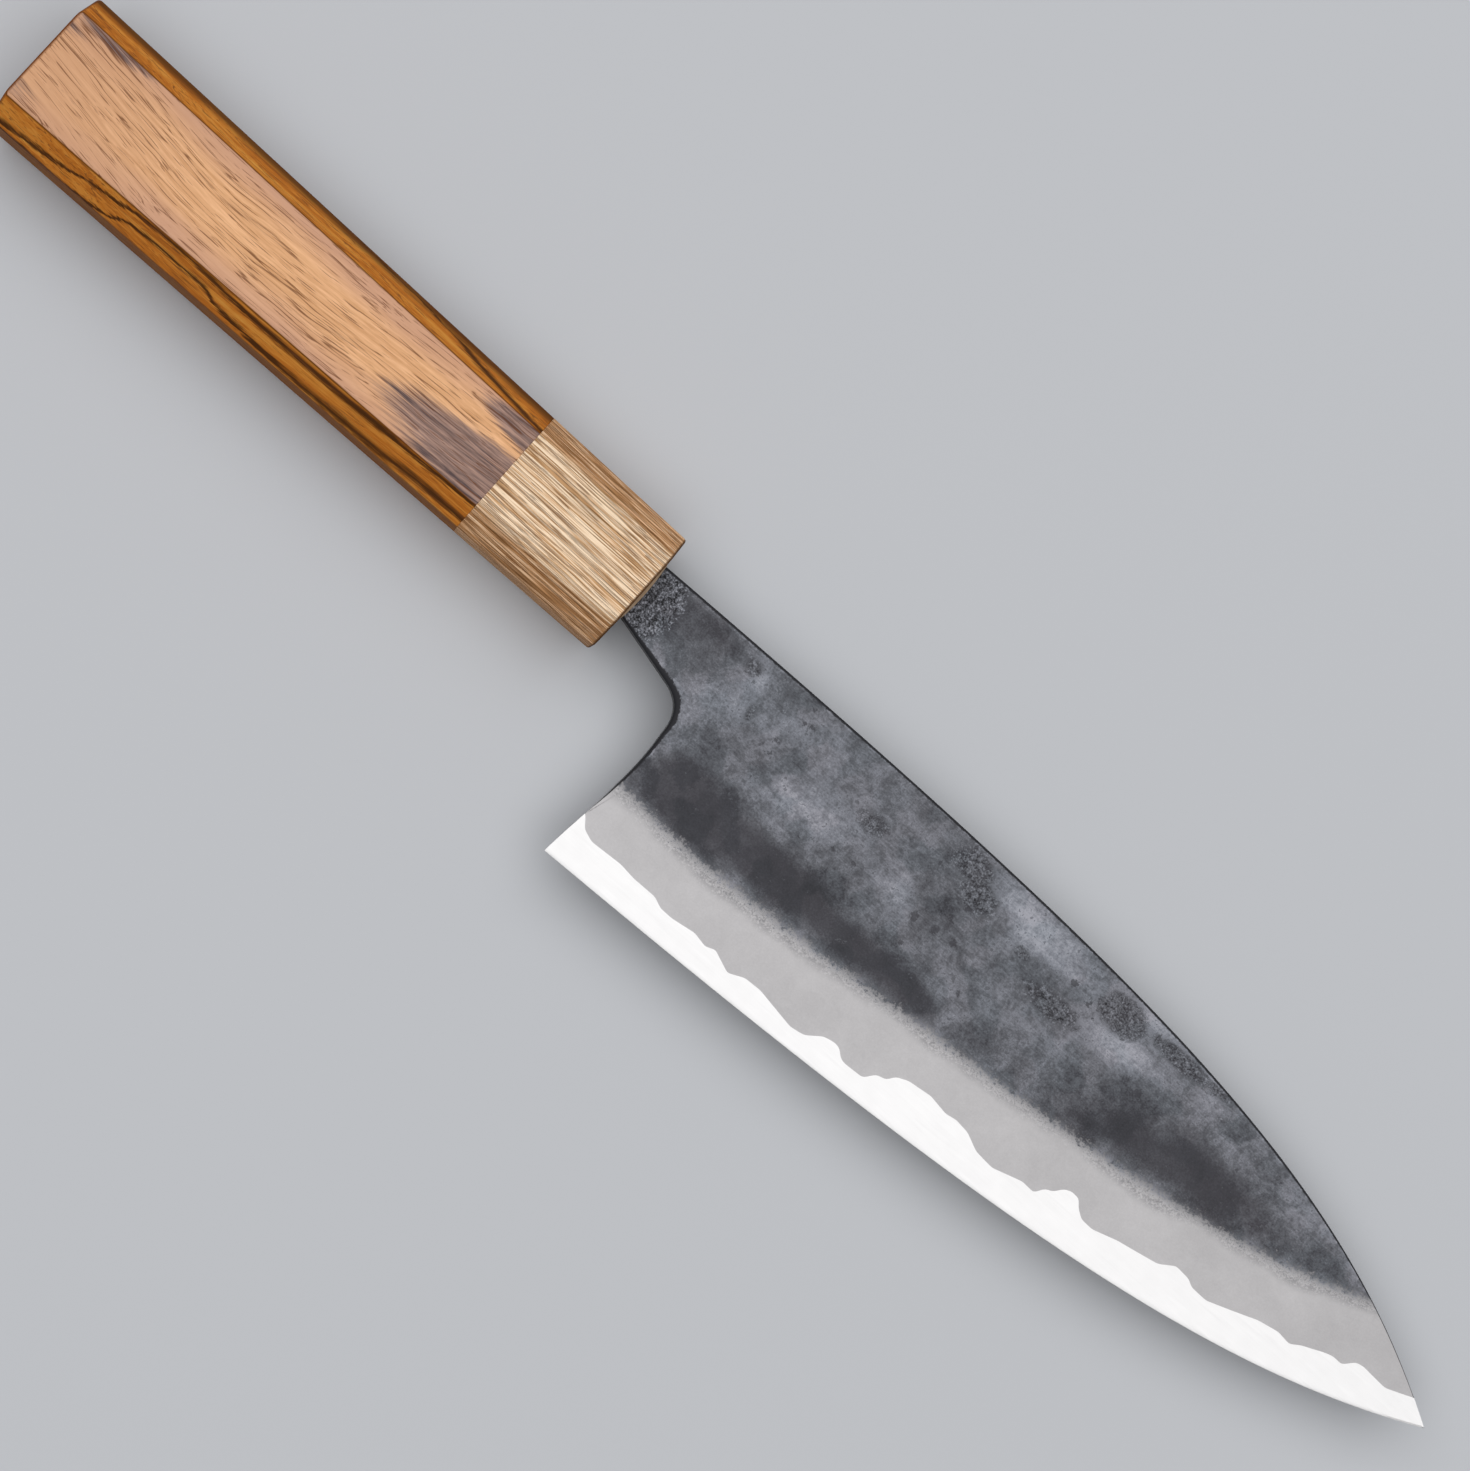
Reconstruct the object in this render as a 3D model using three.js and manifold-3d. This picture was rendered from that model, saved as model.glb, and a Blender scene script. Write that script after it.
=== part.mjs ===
// Funayuki kitchen knife: a laminated blade with forge-black flats, whose hidden tang is held
// by a slotted dowel inside an eight-sided wooden handle with a wooden ferrule.
// Millimetres. X runs along the handle's axis to the tip, Y from the edge to the spine and Z out of the
// right face. Sizes are measured from the middle of the ferrule's front face.

import * as THREE from 'three';
import { mergeVertices } from 'three/addons/utils/BufferGeometryUtils.js';
import Module from 'manifold-3d';

// Blade outline, seen from the right face
const HEEL_REACH = 15.2; // ferrule to heel
const EDGE_RUN = 163.4; // heel to tip, along the axis
const HEEL_DROP = 38.8; // heel below the axis
const TIP_DROP = 15.1; // tip below the axis
const SPINE_RISE = 6.05; // spine above the axis, at the ferrule
const SPINE_NECK_ANGLE = 1.4; // degrees that the spine climbs as it leaves the ferrule
const SPINE_NECK_PULL = 103; // length over which the spine keeps that direction
const SPINE_TIP_ANGLE = 30.6; // degrees that the spine falls as it meets the tip
const SPINE_TIP_PULL = 41; // length over which it bends into that fall
const EDGE_HEEL_ANGLE = 1.6; // degrees that the edge climbs as it leaves the heel
const EDGE_HEEL_PULL = 100; // length of the flat stretch behind the belly
const EDGE_TIP_ANGLE = 25.6; // degrees that the edge climbs as it meets the tip
const EDGE_TIP_PULL = 31.2; // length over which the belly bends into that climb

// Neck, choil and tang
const NECK_DROP = 4.2; // underside of the neck below the axis, at the ferrule
const NECK_SLOPE = 14; // degrees that the underside falls towards the choil
const CHOIL_HOLLOW = 1.6; // the choil's top, ahead of the heel
const CHOIL_SWELL = 1; // how much further the hollow reaches below its top
const CHOIL_TOP_DROP = 13.5; // where the choil's corner ends, below the axis
const CORNER_REACH = 4.6; // length of the rounded corner along the neck
const TANG_LENGTH = 76; // inside the handle
const TANG_SHOULDER = 1.2; // step from neck to tang, above and below
const SHOULDER_DEPTH = 3; // how far the neck runs into the ferrule
const TANG_END_HEIGHT = 4.4;

// Thickness of the blade and its layers
const NECK_THICKNESS = 3.1; // at the ferrule
const TIP_THICKNESS = 0.9; // what the flats would taper to at the tip
const TANG_END_THICKNESS = 2;
const EDGE_THICKNESS = 0.15;
const SPINE_EASE = 0.35; // broken corners along the spine
const NECK_EASE = 0.5; // broken corners under the neck and down the choil

// Height above the edge, at a share of the way from heel to tip, of the line where the ground bevel
// starts, and of the uneven weld lines where the hard core comes out of the cladding on each face.
const GRIND_LINE = [[0, 15.7], [0.1, 13.9], [0.25, 14.6], [0.4, 15.8], [0.65, 16], [0.82, 16.7], [1, 19]];
const RIGHT_WELD_LINE = [
  [0, 8.5], [0.016, 6.4], [0.071, 6], [0.13, 4.7], [0.18, 4.9], [0.203, 3.5], [0.228, 4.5], [0.287, 3.2],
  [0.314, 5.2], [0.337, 4.2], [0.371, 4.2], [0.39, 7.1], [0.424, 7.6], [0.47, 6.5], [0.5, 4.4], [0.538, 4.4],
  [0.573, 6.6], [0.6, 8], [0.608, 6.4], [0.623, 5.5], [0.72, 7], [0.753, 5.6], [0.792, 6.6],
  [0.866, 5.1], [0.901, 6.8], [0.948, 4.6], [1, 5.2],
];
const LEFT_WELD_LINE = [
  [0, 7.3], [0.031, 5.8], [0.1, 4.8], [0.17, 5.7], [0.24, 4], [0.31, 4.7], [0.36, 6.8], [0.43, 5.2],
  [0.5, 6.9], [0.55, 7.6], [0.6, 5.5], [0.68, 5.1], [0.74, 6.8], [0.8, 5.9], [0.88, 6.8],
  [0.939, 4.9], [1, 5.4],
];

// Handle and ferrule
const FERRULE_LENGTH = 27.5;
const BODY_LENGTH = 92.8;
const FRONT_HEIGHT = 21.7; // across the facets above and below, at the ferrule's front
const FRONT_WIDTH = 17.8; // across the facets on the two faces
const BUTT_HEIGHT = 24.6;
const BUTT_WIDTH = 19.6;
const BEVEL_HEIGHT = 4; // bevel facets, along Y
const BEVEL_WIDTH = 4.9; // bevel facets, along Z
const FRONT_EASE = 0.5; // rounding of the ferrule's front edge
const BUTT_EASE = 0.7; // rounding of the butt's edge
const CORNER_EASE = 0.4; // broken corners between the facets

// What joins them
const FERRULE_FRONT_WALL = 5; // wood left in front of the dowel
const DOWEL_END_WALL = 7; // wood left behind the end of the slot
const DOWEL_WALL = 0.9; // wood left outside the corners of the slot
const MOUTH_MARGIN = 1.2; // room round the neck in the ferrule's mouth
const SEAL_PROUD = 0.4; // how far the resin stands out of the mouth
const SEAL_GAP = 0.15; // round the resin, inside and outside
const GLUE_GAP = 0.3; // round the dowel and the tang

// Fineness of the facets
const STATION_STEP = 1.6;
const CURVE_STEPS = 10;
const DOWEL_SIDES = 40;
const EASE_STEPS = 3;
const CURVE_TOLERANCE = 1e-7; // share of a curve to which a place on it is found

// Lengths that follow from these
const TIP_REACH = HEEL_REACH + EDGE_RUN;
const HANDLE_LENGTH = FERRULE_LENGTH + BODY_LENGTH;
const TANG_MIDDLE = (SPINE_RISE - NECK_DROP) / 2;
const TANG_HEIGHT = SPINE_RISE + NECK_DROP - 2 * TANG_SHOULDER;
const SLOT_HEIGHT = TANG_HEIGHT + 2 * GLUE_GAP;
const SLOT_WIDTH = NECK_THICKNESS + 2 * GLUE_GAP;
const DOWEL_RADIUS = Math.hypot(Math.abs(TANG_MIDDLE) + SLOT_HEIGHT / 2, SLOT_WIDTH / 2) + DOWEL_WALL;
const DOWEL_FRONT = -FERRULE_FRONT_WALL - GLUE_GAP;
const SLOT_END = -TANG_LENGTH - GLUE_GAP;
const DOWEL_END = SLOT_END - DOWEL_END_WALL;
const CUT_OVERRUN = 5; // how far a cutting tool stands out of what it cuts

const wasm = await Module();
wasm.setup();

function solidOf(geometry) {
  geometry.deleteAttribute('normal');
  geometry.deleteAttribute('uv');
  const merged = mergeVertices(geometry);
  const vertProperties = new Float32Array(merged.attributes.position.array);
  const triVerts = new Uint32Array(merged.index.array);
  return new wasm.Manifold(new wasm.Mesh({ numProp: 3, vertProperties, triVerts }));
}

function pieceOf(name, solid, look) {
  const { vertProperties, triVerts } = solid.getMesh();
  const geometry = new THREE.BufferGeometry();
  geometry.setAttribute('position', new THREE.BufferAttribute(vertProperties, 3));
  geometry.setIndex(new THREE.BufferAttribute(triVerts, 1));
  geometry.computeVertexNormals();
  const material = new THREE.MeshStandardMaterial({ ...look, flatShading: true });
  const piece = new THREE.Mesh(geometry, material);
  piece.name = name;
  return piece;
}

// A skin over rings of points that follow each other along X, closed flat at both ends or drawn to a point
function loft(rings, point) {
  const sides = rings[0].length;
  const points = rings.flat();
  const last = points.length - sides;
  const faces = [];
  for (let start = 0; start < last; start += sides) {
    for (let side = 0; side < sides; side++) {
      const a = start + side;
      const b = start + (side + 1) % sides;
      faces.push(a, b, b + sides, a, b + sides, a + sides);
    }
  }
  for (let side = 1; side + 1 < sides; side++) {
    faces.push(0, side + 1, side);
    if (!point) faces.push(last, last + side, last + side + 1);
  }
  if (point) {
    for (let side = 0; side < sides; side++) {
      faces.push(last + side, last + (side + 1) % sides, points.length);
    }
    points.push(point);
  }
  return new THREE.BufferGeometry().setFromPoints(points).setIndex(faces);
}

function boxBetween(low, high) {
  const size = new THREE.Vector3().subVectors(high, low);
  const middle = new THREE.Vector3().addVectors(low, high).divideScalar(2);
  return solidOf(new THREE.BoxGeometry(size.x, size.y, size.z).translate(middle.x, middle.y, middle.z));
}

function rodAlongX(radius, back, front) {
  const rod = new THREE.CylinderGeometry(radius, radius, front - back, DOWEL_SIDES);
  return solidOf(rod.rotateZ(Math.PI / 2).translate((front + back) / 2, 0, 0));
}

// A point at a distance and a climb from another, forwards or, for a negative distance, backwards
function along(start, distance, degrees) {
  const angle = THREE.MathUtils.degToRad(degrees);
  return new THREE.Vector2(start.x + distance * Math.cos(angle), start.y + distance * Math.sin(angle));
}

// Height of a curve that never turns back along X
function heightAt(curve, x) {
  let low = 0;
  let high = 1;
  while (high - low > CURVE_TOLERANCE) {
    const middle = (low + high) / 2;
    if (curve.getPoint(middle).x < x) low = middle;
    else high = middle;
  }
  return curve.getPoint(low).y;
}

// A smooth line through chosen points, as a function of the share along it
function smoothLine(points) {
  const slopes = points.map((point, i) => {
    const before = points[Math.max(i - 1, 0)];
    const after = points[Math.min(i + 1, points.length - 1)];
    return (after[1] - before[1]) / (after[0] - before[0]);
  });
  return (share) => {
    const end = points.findIndex((point) => point[0] > share);
    if (end < 1) return points.at(end)[1];
    const start = end - 1;
    const run = points[end][0] - points[start][0];
    const t = (share - points[start][0]) / run;
    const ease = t * t * (3 - 2 * t);
    const bend = t * (1 - t) * run * (slopes[start] * (1 - t) - slopes[end] * t);
    return THREE.MathUtils.lerp(points[start][1], points[end][1], ease) + bend;
  };
}

const heel = new THREE.Vector2(HEEL_REACH, -HEEL_DROP);
const tip = new THREE.Vector2(TIP_REACH, -TIP_DROP);
const spineStart = new THREE.Vector2(0, SPINE_RISE);
const spineCurve = new THREE.CubicBezierCurve(
  spineStart,
  along(spineStart, SPINE_NECK_PULL, SPINE_NECK_ANGLE),
  along(tip, -SPINE_TIP_PULL, -SPINE_TIP_ANGLE),
  tip,
);
const edgeCurve = new THREE.CubicBezierCurve(
  heel,
  along(heel, EDGE_HEEL_PULL, EDGE_HEEL_ANGLE),
  along(tip, -EDGE_TIP_PULL, EDGE_TIP_ANGLE),
  tip,
);
const grindHeight = smoothLine(GRIND_LINE);
const weldHeights = { right: smoothLine(RIGHT_WELD_LINE), left: smoothLine(LEFT_WELD_LINE) };

// Half the thickness of the flats: planes that thin towards the tip, and towards the end of the tang
function flatHalf(x) {
  const far = x > 0 ? TIP_THICKNESS : TANG_END_THICKNESS;
  const share = x > 0 ? x / TIP_REACH : -x / TANG_LENGTH;
  return THREE.MathUtils.lerp(NECK_THICKNESS, far, share) / 2;
}

// The lines of the blade across its height at one place along it
function sectionAt(x) {
  const bladeX = Math.max(x, HEEL_REACH);
  const share = (bladeX - HEEL_REACH) / EDGE_RUN;
  const spine = x > 0 ? heightAt(spineCurve, x) : SPINE_RISE;
  const edge = heightAt(edgeCurve, bladeX);
  const grind = edge + grindHeight(share);
  const halfAt = (y, flat) => {
    const climb = Math.min((y - edge) / (grind - edge), 1);
    return THREE.MathUtils.lerp(EDGE_THICKNESS / 2, flat, climb);
  };
  const weldLine = (face) => Math.min(edge + weldHeights[face](share), spine - SPINE_EASE);
  const weldHalf = (face) => halfAt(weldLine(face), flatHalf(bladeX));
  return {
    spine,
    edge,
    grind: Math.min(grind, spine - 2 * SPINE_EASE),
    weldLine,
    weldHalf,
    halfAt: (y) => halfAt(y, flatHalf(x)),
  };
}

function stepsBetween(start, end) {
  const count = Math.ceil((end - start) / STATION_STEP);
  return Array.from({ length: count }, (_, i) => THREE.MathUtils.lerp(start, end, i / count));
}

// The tang tapers evenly, so it needs no places of its own between its end and the ferrule
const stations = [-TANG_LENGTH, ...stepsBetween(0, HEEL_REACH), ...stepsBetween(HEEL_REACH, TIP_REACH)];

// What is filed away round the tang, under the neck and behind the choil
function wasteBehindHeel() {
  const choilTop = new THREE.Vector2(HEEL_REACH + CHOIL_HOLLOW, -CHOIL_TOP_DROP);
  const fall = Math.tan(THREE.MathUtils.degToRad(NECK_SLOPE));
  const cornerStart = choilTop.x - CORNER_REACH;
  const neckAt = (x) => -NECK_DROP - fall * x;
  const third = (choilTop.y - heel.y) / 3;
  const tangTop = SPINE_RISE - TANG_SHOULDER;
  const tangLow = -NECK_DROP + TANG_SHOULDER;
  const tangEnd = -TANG_LENGTH + TANG_END_HEIGHT / 2;
  const low = heel.y - CUT_OVERRUN;
  const high = SPINE_RISE + CUT_OVERRUN;
  const back = -TANG_LENGTH - CUT_OVERRUN;

  const shape = new THREE.Shape();
  shape.moveTo(heel.x, low);
  shape.lineTo(heel.x, heel.y);
  shape.bezierCurveTo(
    heel.x + CHOIL_HOLLOW - CHOIL_SWELL, heel.y + third,
    choilTop.x + CHOIL_SWELL, choilTop.y - third,
    choilTop.x, choilTop.y,
  );
  shape.quadraticCurveTo(choilTop.x, neckAt(choilTop.x), cornerStart, neckAt(cornerStart));
  shape.lineTo(0, -NECK_DROP);
  shape.lineTo(-SHOULDER_DEPTH, -NECK_DROP);
  shape.lineTo(-SHOULDER_DEPTH, tangLow);
  shape.lineTo(tangEnd, TANG_MIDDLE - TANG_END_HEIGHT / 2);
  shape.absarc(tangEnd, TANG_MIDDLE, TANG_END_HEIGHT / 2, -Math.PI / 2, Math.PI / 2, true);
  shape.lineTo(-SHOULDER_DEPTH, tangTop);
  shape.lineTo(-SHOULDER_DEPTH, high);
  shape.lineTo(back, high);
  shape.lineTo(back, low);
  return shape;
}

// The cut round them goes right through, and flares at both faces to break their corners
function heelCut() {
  const shape = wasteBehindHeel();
  const through = { depth: NECK_THICKNESS, curveSegments: CURVE_STEPS, bevelEnabled: false };
  const flare = {
    depth: CUT_OVERRUN,
    curveSegments: CURVE_STEPS,
    bevelThickness: NECK_EASE,
    bevelSize: NECK_EASE,
    bevelSegments: 1,
  };
  const cutFrom = (z, settings) => solidOf(new THREE.ExtrudeGeometry(shape, settings).translate(0, 0, z));
  return cutFrom(-NECK_THICKNESS / 2, through)
    .add(cutFrom(NECK_THICKNESS / 2, flare))
    .add(cutFrom(-NECK_THICKNESS / 2 - CUT_OVERRUN, flare));
}

// The hard steel core: even in the middle of the blade, bare below the weld lines, down to the edge
function coreSteel() {
  const rings = stations.map((x) => {
    const at = sectionAt(x);
    const right = at.weldHalf('right');
    const left = -at.weldHalf('left');
    return [
      new THREE.Vector3(x, at.spine, left),
      new THREE.Vector3(x, at.spine, right),
      new THREE.Vector3(x, at.weldLine('right'), right),
      new THREE.Vector3(x, at.edge, EDGE_THICKNESS / 2),
      new THREE.Vector3(x, at.edge, -EDGE_THICKNESS / 2),
      new THREE.Vector3(x, at.weldLine('left'), left),
    ];
  });
  const point = new THREE.Vector3(tip.x, tip.y, 0);
  const look = { color: '#f1f1ef', roughness: 0.22, metalness: 1 };
  return pieceOf('core_steel', solidOf(loft(rings, point)).subtract(heelCut()), look);
}

// One soft iron layer: from the eased spine over the flat and the bevel, thinning to nothing at its weld line
function ironCladding(face) {
  const side = face === 'right' ? 1 : -1;
  const covered = stations.filter((x) => {
    const at = sectionAt(x);
    return at.grind - at.weldLine(face) > SPINE_EASE;
  });
  const rings = covered.map((x) => {
    const at = sectionAt(x);
    const inside = at.weldHalf(face);
    const ease = Math.min(SPINE_EASE, (at.halfAt(at.spine) - inside) / 2);
    const ring = [
      new THREE.Vector3(x, at.spine, side * inside),
      new THREE.Vector3(x, at.spine, side * (at.halfAt(at.spine) - ease)),
      new THREE.Vector3(x, at.spine - ease, side * at.halfAt(at.spine - ease)),
      new THREE.Vector3(x, at.grind, side * at.halfAt(at.grind)),
      new THREE.Vector3(x, at.weldLine(face), side * inside),
    ];
    return side > 0 ? ring : ring.reverse();
  });
  const look = { color: '#6d6f76', roughness: 0.55, metalness: 0.7 };
  return pieceOf(`${face}_cladding`, solidOf(loft(rings)).subtract(heelCut()), look);
}

// The eight corners of the handle at one place along it, each broken by a narrow flat
function octagon(x, height, width, inset = 0) {
  const y = height / 2 - inset;
  const z = width / 2 - inset;
  const corners = [
    [y, z - BEVEL_WIDTH], [y - BEVEL_HEIGHT, z], [BEVEL_HEIGHT - y, z], [-y, z - BEVEL_WIDTH],
    [-y, BEVEL_WIDTH - z], [BEVEL_HEIGHT - y, -z], [y - BEVEL_HEIGHT, -z], [y, BEVEL_WIDTH - z],
  ].map(([cornerY, cornerZ]) => new THREE.Vector3(x, cornerY, cornerZ));
  return corners.flatMap((corner, i) => {
    const neighbours = [corners.at(i - 1), corners[(i + 1) % corners.length]];
    return neighbours.map((other) => corner.clone().lerp(other, CORNER_EASE / corner.distanceTo(other)));
  });
}

function handleRing(x) {
  const share = (-x - FRONT_EASE) / (HANDLE_LENGTH - FRONT_EASE - BUTT_EASE);
  const height = THREE.MathUtils.lerp(FRONT_HEIGHT, BUTT_HEIGHT, share);
  return octagon(x, height, THREE.MathUtils.lerp(FRONT_WIDTH, BUTT_WIDTH, share));
}

// Rings that round an end of the handle over, from the full section out to the end face
function roundedEnd(end, ease, outward, height, width) {
  return Array.from({ length: EASE_STEPS + 1 }, (_, i) => {
    const angle = (i * Math.PI) / 2 / EASE_STEPS;
    return octagon(end - outward * ease * (1 - Math.sin(angle)), height, width, ease * (1 - Math.cos(angle)));
  });
}

// The handle's body: shaped to a tapering octagon, rounded at the butt and bored for the dowel
function handleBody() {
  const butt = roundedEnd(-HANDLE_LENGTH, BUTT_EASE, -1, BUTT_HEIGHT, BUTT_WIDTH);
  const wood = solidOf(loft([...butt.reverse(), handleRing(-FERRULE_LENGTH)]));
  const bore = rodAlongX(DOWEL_RADIUS + GLUE_GAP, DOWEL_END - GLUE_GAP, -FERRULE_LENGTH + CUT_OVERRUN);
  return pieceOf('handle_body', wood.subtract(bore), { color: '#b87434', roughness: 0.4, metalness: 0 });
}

// A box round the neck, with an even margin
function boxRoundNeck(margin, back, front) {
  return boxBetween(
    new THREE.Vector3(back, -NECK_DROP - margin, -NECK_THICKNESS / 2 - margin),
    new THREE.Vector3(front, SPINE_RISE + margin, NECK_THICKNESS / 2 + margin),
  );
}

// The ferrule: the front of the same octagon, bored from behind, with a mouth for the neck
function ferrule() {
  const front = roundedEnd(0, FRONT_EASE, 1, FRONT_HEIGHT, FRONT_WIDTH);
  const wood = solidOf(loft([handleRing(-FERRULE_LENGTH), ...front]));
  const bore = rodAlongX(DOWEL_RADIUS + GLUE_GAP, -FERRULE_LENGTH - CUT_OVERRUN, -FERRULE_FRONT_WALL);
  const mouth = boxRoundNeck(MOUTH_MARGIN, -FERRULE_FRONT_WALL - CUT_OVERRUN, CUT_OVERRUN);
  const look = { color: '#c6a67a', roughness: 0.55, metalness: 0 };
  return pieceOf('ferrule', wood.subtract(bore).subtract(mouth), look);
}

// The dowel: glued into ferrule and body, with a slot from its front end for the tang
function dowel() {
  const rod = rodAlongX(DOWEL_RADIUS, DOWEL_END, DOWEL_FRONT);
  const slot = boxBetween(
    new THREE.Vector3(SLOT_END, TANG_MIDDLE - SLOT_HEIGHT / 2, -SLOT_WIDTH / 2),
    new THREE.Vector3(CUT_OVERRUN, TANG_MIDDLE + SLOT_HEIGHT / 2, SLOT_WIDTH / 2),
  );
  return pieceOf('dowel', rod.subtract(slot), { color: '#d9c3a0', roughness: 0.7, metalness: 0 });
}

// The resin that fills the mouth round the neck and stands a little proud of it
function tangSeal() {
  const outside = boxRoundNeck(MOUTH_MARGIN - SEAL_GAP, -FERRULE_FRONT_WALL, SEAL_PROUD);
  const inside = boxRoundNeck(SEAL_GAP, -FERRULE_FRONT_WALL - CUT_OVERRUN, SEAL_PROUD + CUT_OVERRUN);
  return pieceOf('tang_seal', outside.subtract(inside), { color: '#b98f5f', roughness: 0.45, metalness: 0 });
}

const knife = new THREE.Group();
knife.add(coreSteel());
knife.add(ironCladding('right'), ironCladding('left'));
knife.add(ferrule(), handleBody(), dowel(), tangSeal());

// The origin lies under the middle of the knife, on the surface that it lies on with its right face up
const box = new THREE.Box3().setFromObject(knife);
const middle = box.getCenter(new THREE.Vector3());
knife.position.set(-middle.x, -middle.y, -box.min.z);

export default knife;
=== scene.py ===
import math

import bmesh
import bpy
import numpy as np
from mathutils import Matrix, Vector, noise


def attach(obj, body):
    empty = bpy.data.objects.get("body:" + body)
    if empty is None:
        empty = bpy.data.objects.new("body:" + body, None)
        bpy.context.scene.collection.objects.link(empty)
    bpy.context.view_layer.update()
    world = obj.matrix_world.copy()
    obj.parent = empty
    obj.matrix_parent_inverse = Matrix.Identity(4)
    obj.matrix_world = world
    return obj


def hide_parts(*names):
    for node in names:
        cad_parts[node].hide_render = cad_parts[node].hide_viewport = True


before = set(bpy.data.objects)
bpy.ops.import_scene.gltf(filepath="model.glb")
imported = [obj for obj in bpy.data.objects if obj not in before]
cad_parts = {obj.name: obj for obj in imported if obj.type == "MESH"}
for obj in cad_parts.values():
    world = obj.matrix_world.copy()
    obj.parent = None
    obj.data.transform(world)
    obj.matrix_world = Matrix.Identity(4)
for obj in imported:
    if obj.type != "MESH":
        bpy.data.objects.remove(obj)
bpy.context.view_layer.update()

# The blade's core: hard carbon steel from the edge to the end of the tang, forge-welded between two layers
# of soft iron. Grinding lays it bare below the weld lines, where fine stones polish it; elsewhere only its
# rims show between the layers, black with scale along the spine and down the choil.
FERRULE_FRONT = np.array([-29.15, 13.25, 9.8])  # sizes are in mm from here, the middle of the ferrule's front
SIGNS = {"right": 1, "left": -1}  # which way along z each face of the blade looks
HEEL, TIP = (15.2, -38.8), (178.6, -15.1)
NECK_TOP, NECK_DROP, NECK_FALL = 6.05, 4.2, math.tan(math.radians(14))
SPINE_CURVE = [(0, NECK_TOP), (102.97, 8.57), (143.31, 5.77), TIP]
EDGE_CURVE = [HEEL, (115.16, -36.01), (150.46, -28.58), TIP]
CHOIL_TOP = (16.8, -13.5)
CHOIL_CURVE = [CHOIL_TOP, (17.8, -21.93), (15.8, -30.37), HEEL]
CORNER_START = 12.2
CORNER_CURVE = [(CORNER_START, -7.24), (15.27, -8.01), (16.8, -10.09), CHOIL_TOP]
NECK_THICKNESS, TIP_THICKNESS, TANG_END_THICKNESS, EDGE_THICKNESS = 3.1, 0.9, 2.0, 0.15
TANG_LENGTH, TANG_MIDDLE, TANG_END_RADIUS = 76, 0.925, 2.2
TANG_ROOT, TANG_ROOT_HALF = -3, 3.925
HONED, HONED_EDGE = 0.28, 0.02  # last strip above the edge, steeper from the finest stone, and half its end
HEEL_LEAN, HEEL_BULGE = 12, 8  # lengths over which the bright band's mesh leans and bends to the choil
WELD_START, WELD_FADE = 16, 0.3
RIM_SCALE_END, RIM_SCALE_FADE = -27, 3  # y down to which the choil is black, and over what height that fades

# Columns of the mesh: the tang's straight ones start at STRAIGHT_START, those that fan out from the choil end
# at FAN_END, and the weld line meets the spine past LAST_STRETCH
STRAIGHT_START, FAN_END, LAST_STRETCH = -70, 60, 150
ROUND_COLUMNS, STRAIGHT_COLUMNS, NECK_COLUMNS, CORNER_COLUMNS, CHOIL_COLUMNS = 9, 16, 38, 20, 49
TANG_COLUMNS = ROUND_COLUMNS + STRAIGHT_COLUMNS
FAN_COLUMNS, UPRIGHT_COLUMNS, TIP_COLUMNS = 150, 360, 24
BAND_ROWS, INNER_ROWS = 16, 5
CURVE_STEPS, SEARCH_STEPS = 2000, 4000

# Height above the edge of the line where the bevel starts, and of the weld line on each face
GRIND_LINE = [(15.2, 15.7), (31.5, 13.9), (56.1, 14.6), (80.6, 15.8), (121.4, 16), (149.2, 16.7), (178.6, 19)]
WELD_LINES = {
    "right": [
        (16.2, 8.3), (17.6, 6.4), (19.7, 5.6), (25.4, 5.8), (28.2, 5.4), (32.6, 5.3), (34.4, 4.5),
        (36.7, 4.4), (40.9, 4.9), (43.4, 4.3), (45, 4.9), (48.7, 3.3), (51.3, 4.4), (54.3, 4.4),
        (61.5, 2.9), (64, 3.2), (66.4, 4.9), (68.3, 5.2), (69.4, 5), (70.6, 3.9), (71.5, 3.6), (75.2, 3.6),
        (76.4, 5.2), (78.3, 5.6), (78.8, 6.7), (80.9, 7.5), (85.1, 7.7), (88.6, 6.9), (90.5, 7.1),
        (93.1, 6.6), (96.1, 5), (99.6, 4.4), (104.6, 5.4), (107.2, 5), (107.9, 6.4), (109.4, 6.9),
        (110.3, 8.1), (111.5, 8.5), (113.2, 8.2), (113.9, 7.1), (115.5, 5.8), (117.8, 5.4), (122.1, 6.1),
        (129.3, 6.4), (131.7, 7.6), (134.5, 6.9), (135.7, 6), (138.8, 5.3), (147.2, 6.5), (150.8, 6.3),
        (153.4, 5.3), (154.9, 5.9), (158.5, 6.4), (160, 6.4), (161.9, 5.7), (163.4, 6.9), (164.8, 6.7),
        (169.6, 4.6), (174.2, 4.5), (178.5, 4.8),
    ],
    "left": [
        (15.3, 7.5), (17.7, 6.4), (20.2, 5.9), (26.7, 5), (31.6, 4.8), (36.7, 5), (39.2, 6), (43, 5.8),
        (45.8, 4.5), (54.5, 4), (58.1, 4.8), (65.9, 4.6), (70.6, 5.1), (71.7, 6.5), (76.1, 6.9),
        (79.7, 6.3), (81, 5.2), (87.7, 5.2), (92.2, 5.7), (93.7, 6.7), (99, 7), (102.3, 7.8), (106.2, 7.6),
        (108.7, 6.1), (113.2, 5.4), (118.7, 5.7), (126.3, 5.1), (131.3, 5.5), (133, 6.7), (137.3, 6.9),
        (140.7, 5.8), (147.3, 6), (152.7, 5.3), (156, 6.7), (160.3, 6.8), (163.1, 5.6), (168.7, 4.9),
        (178.5, 5.2),
    ],
}


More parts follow.
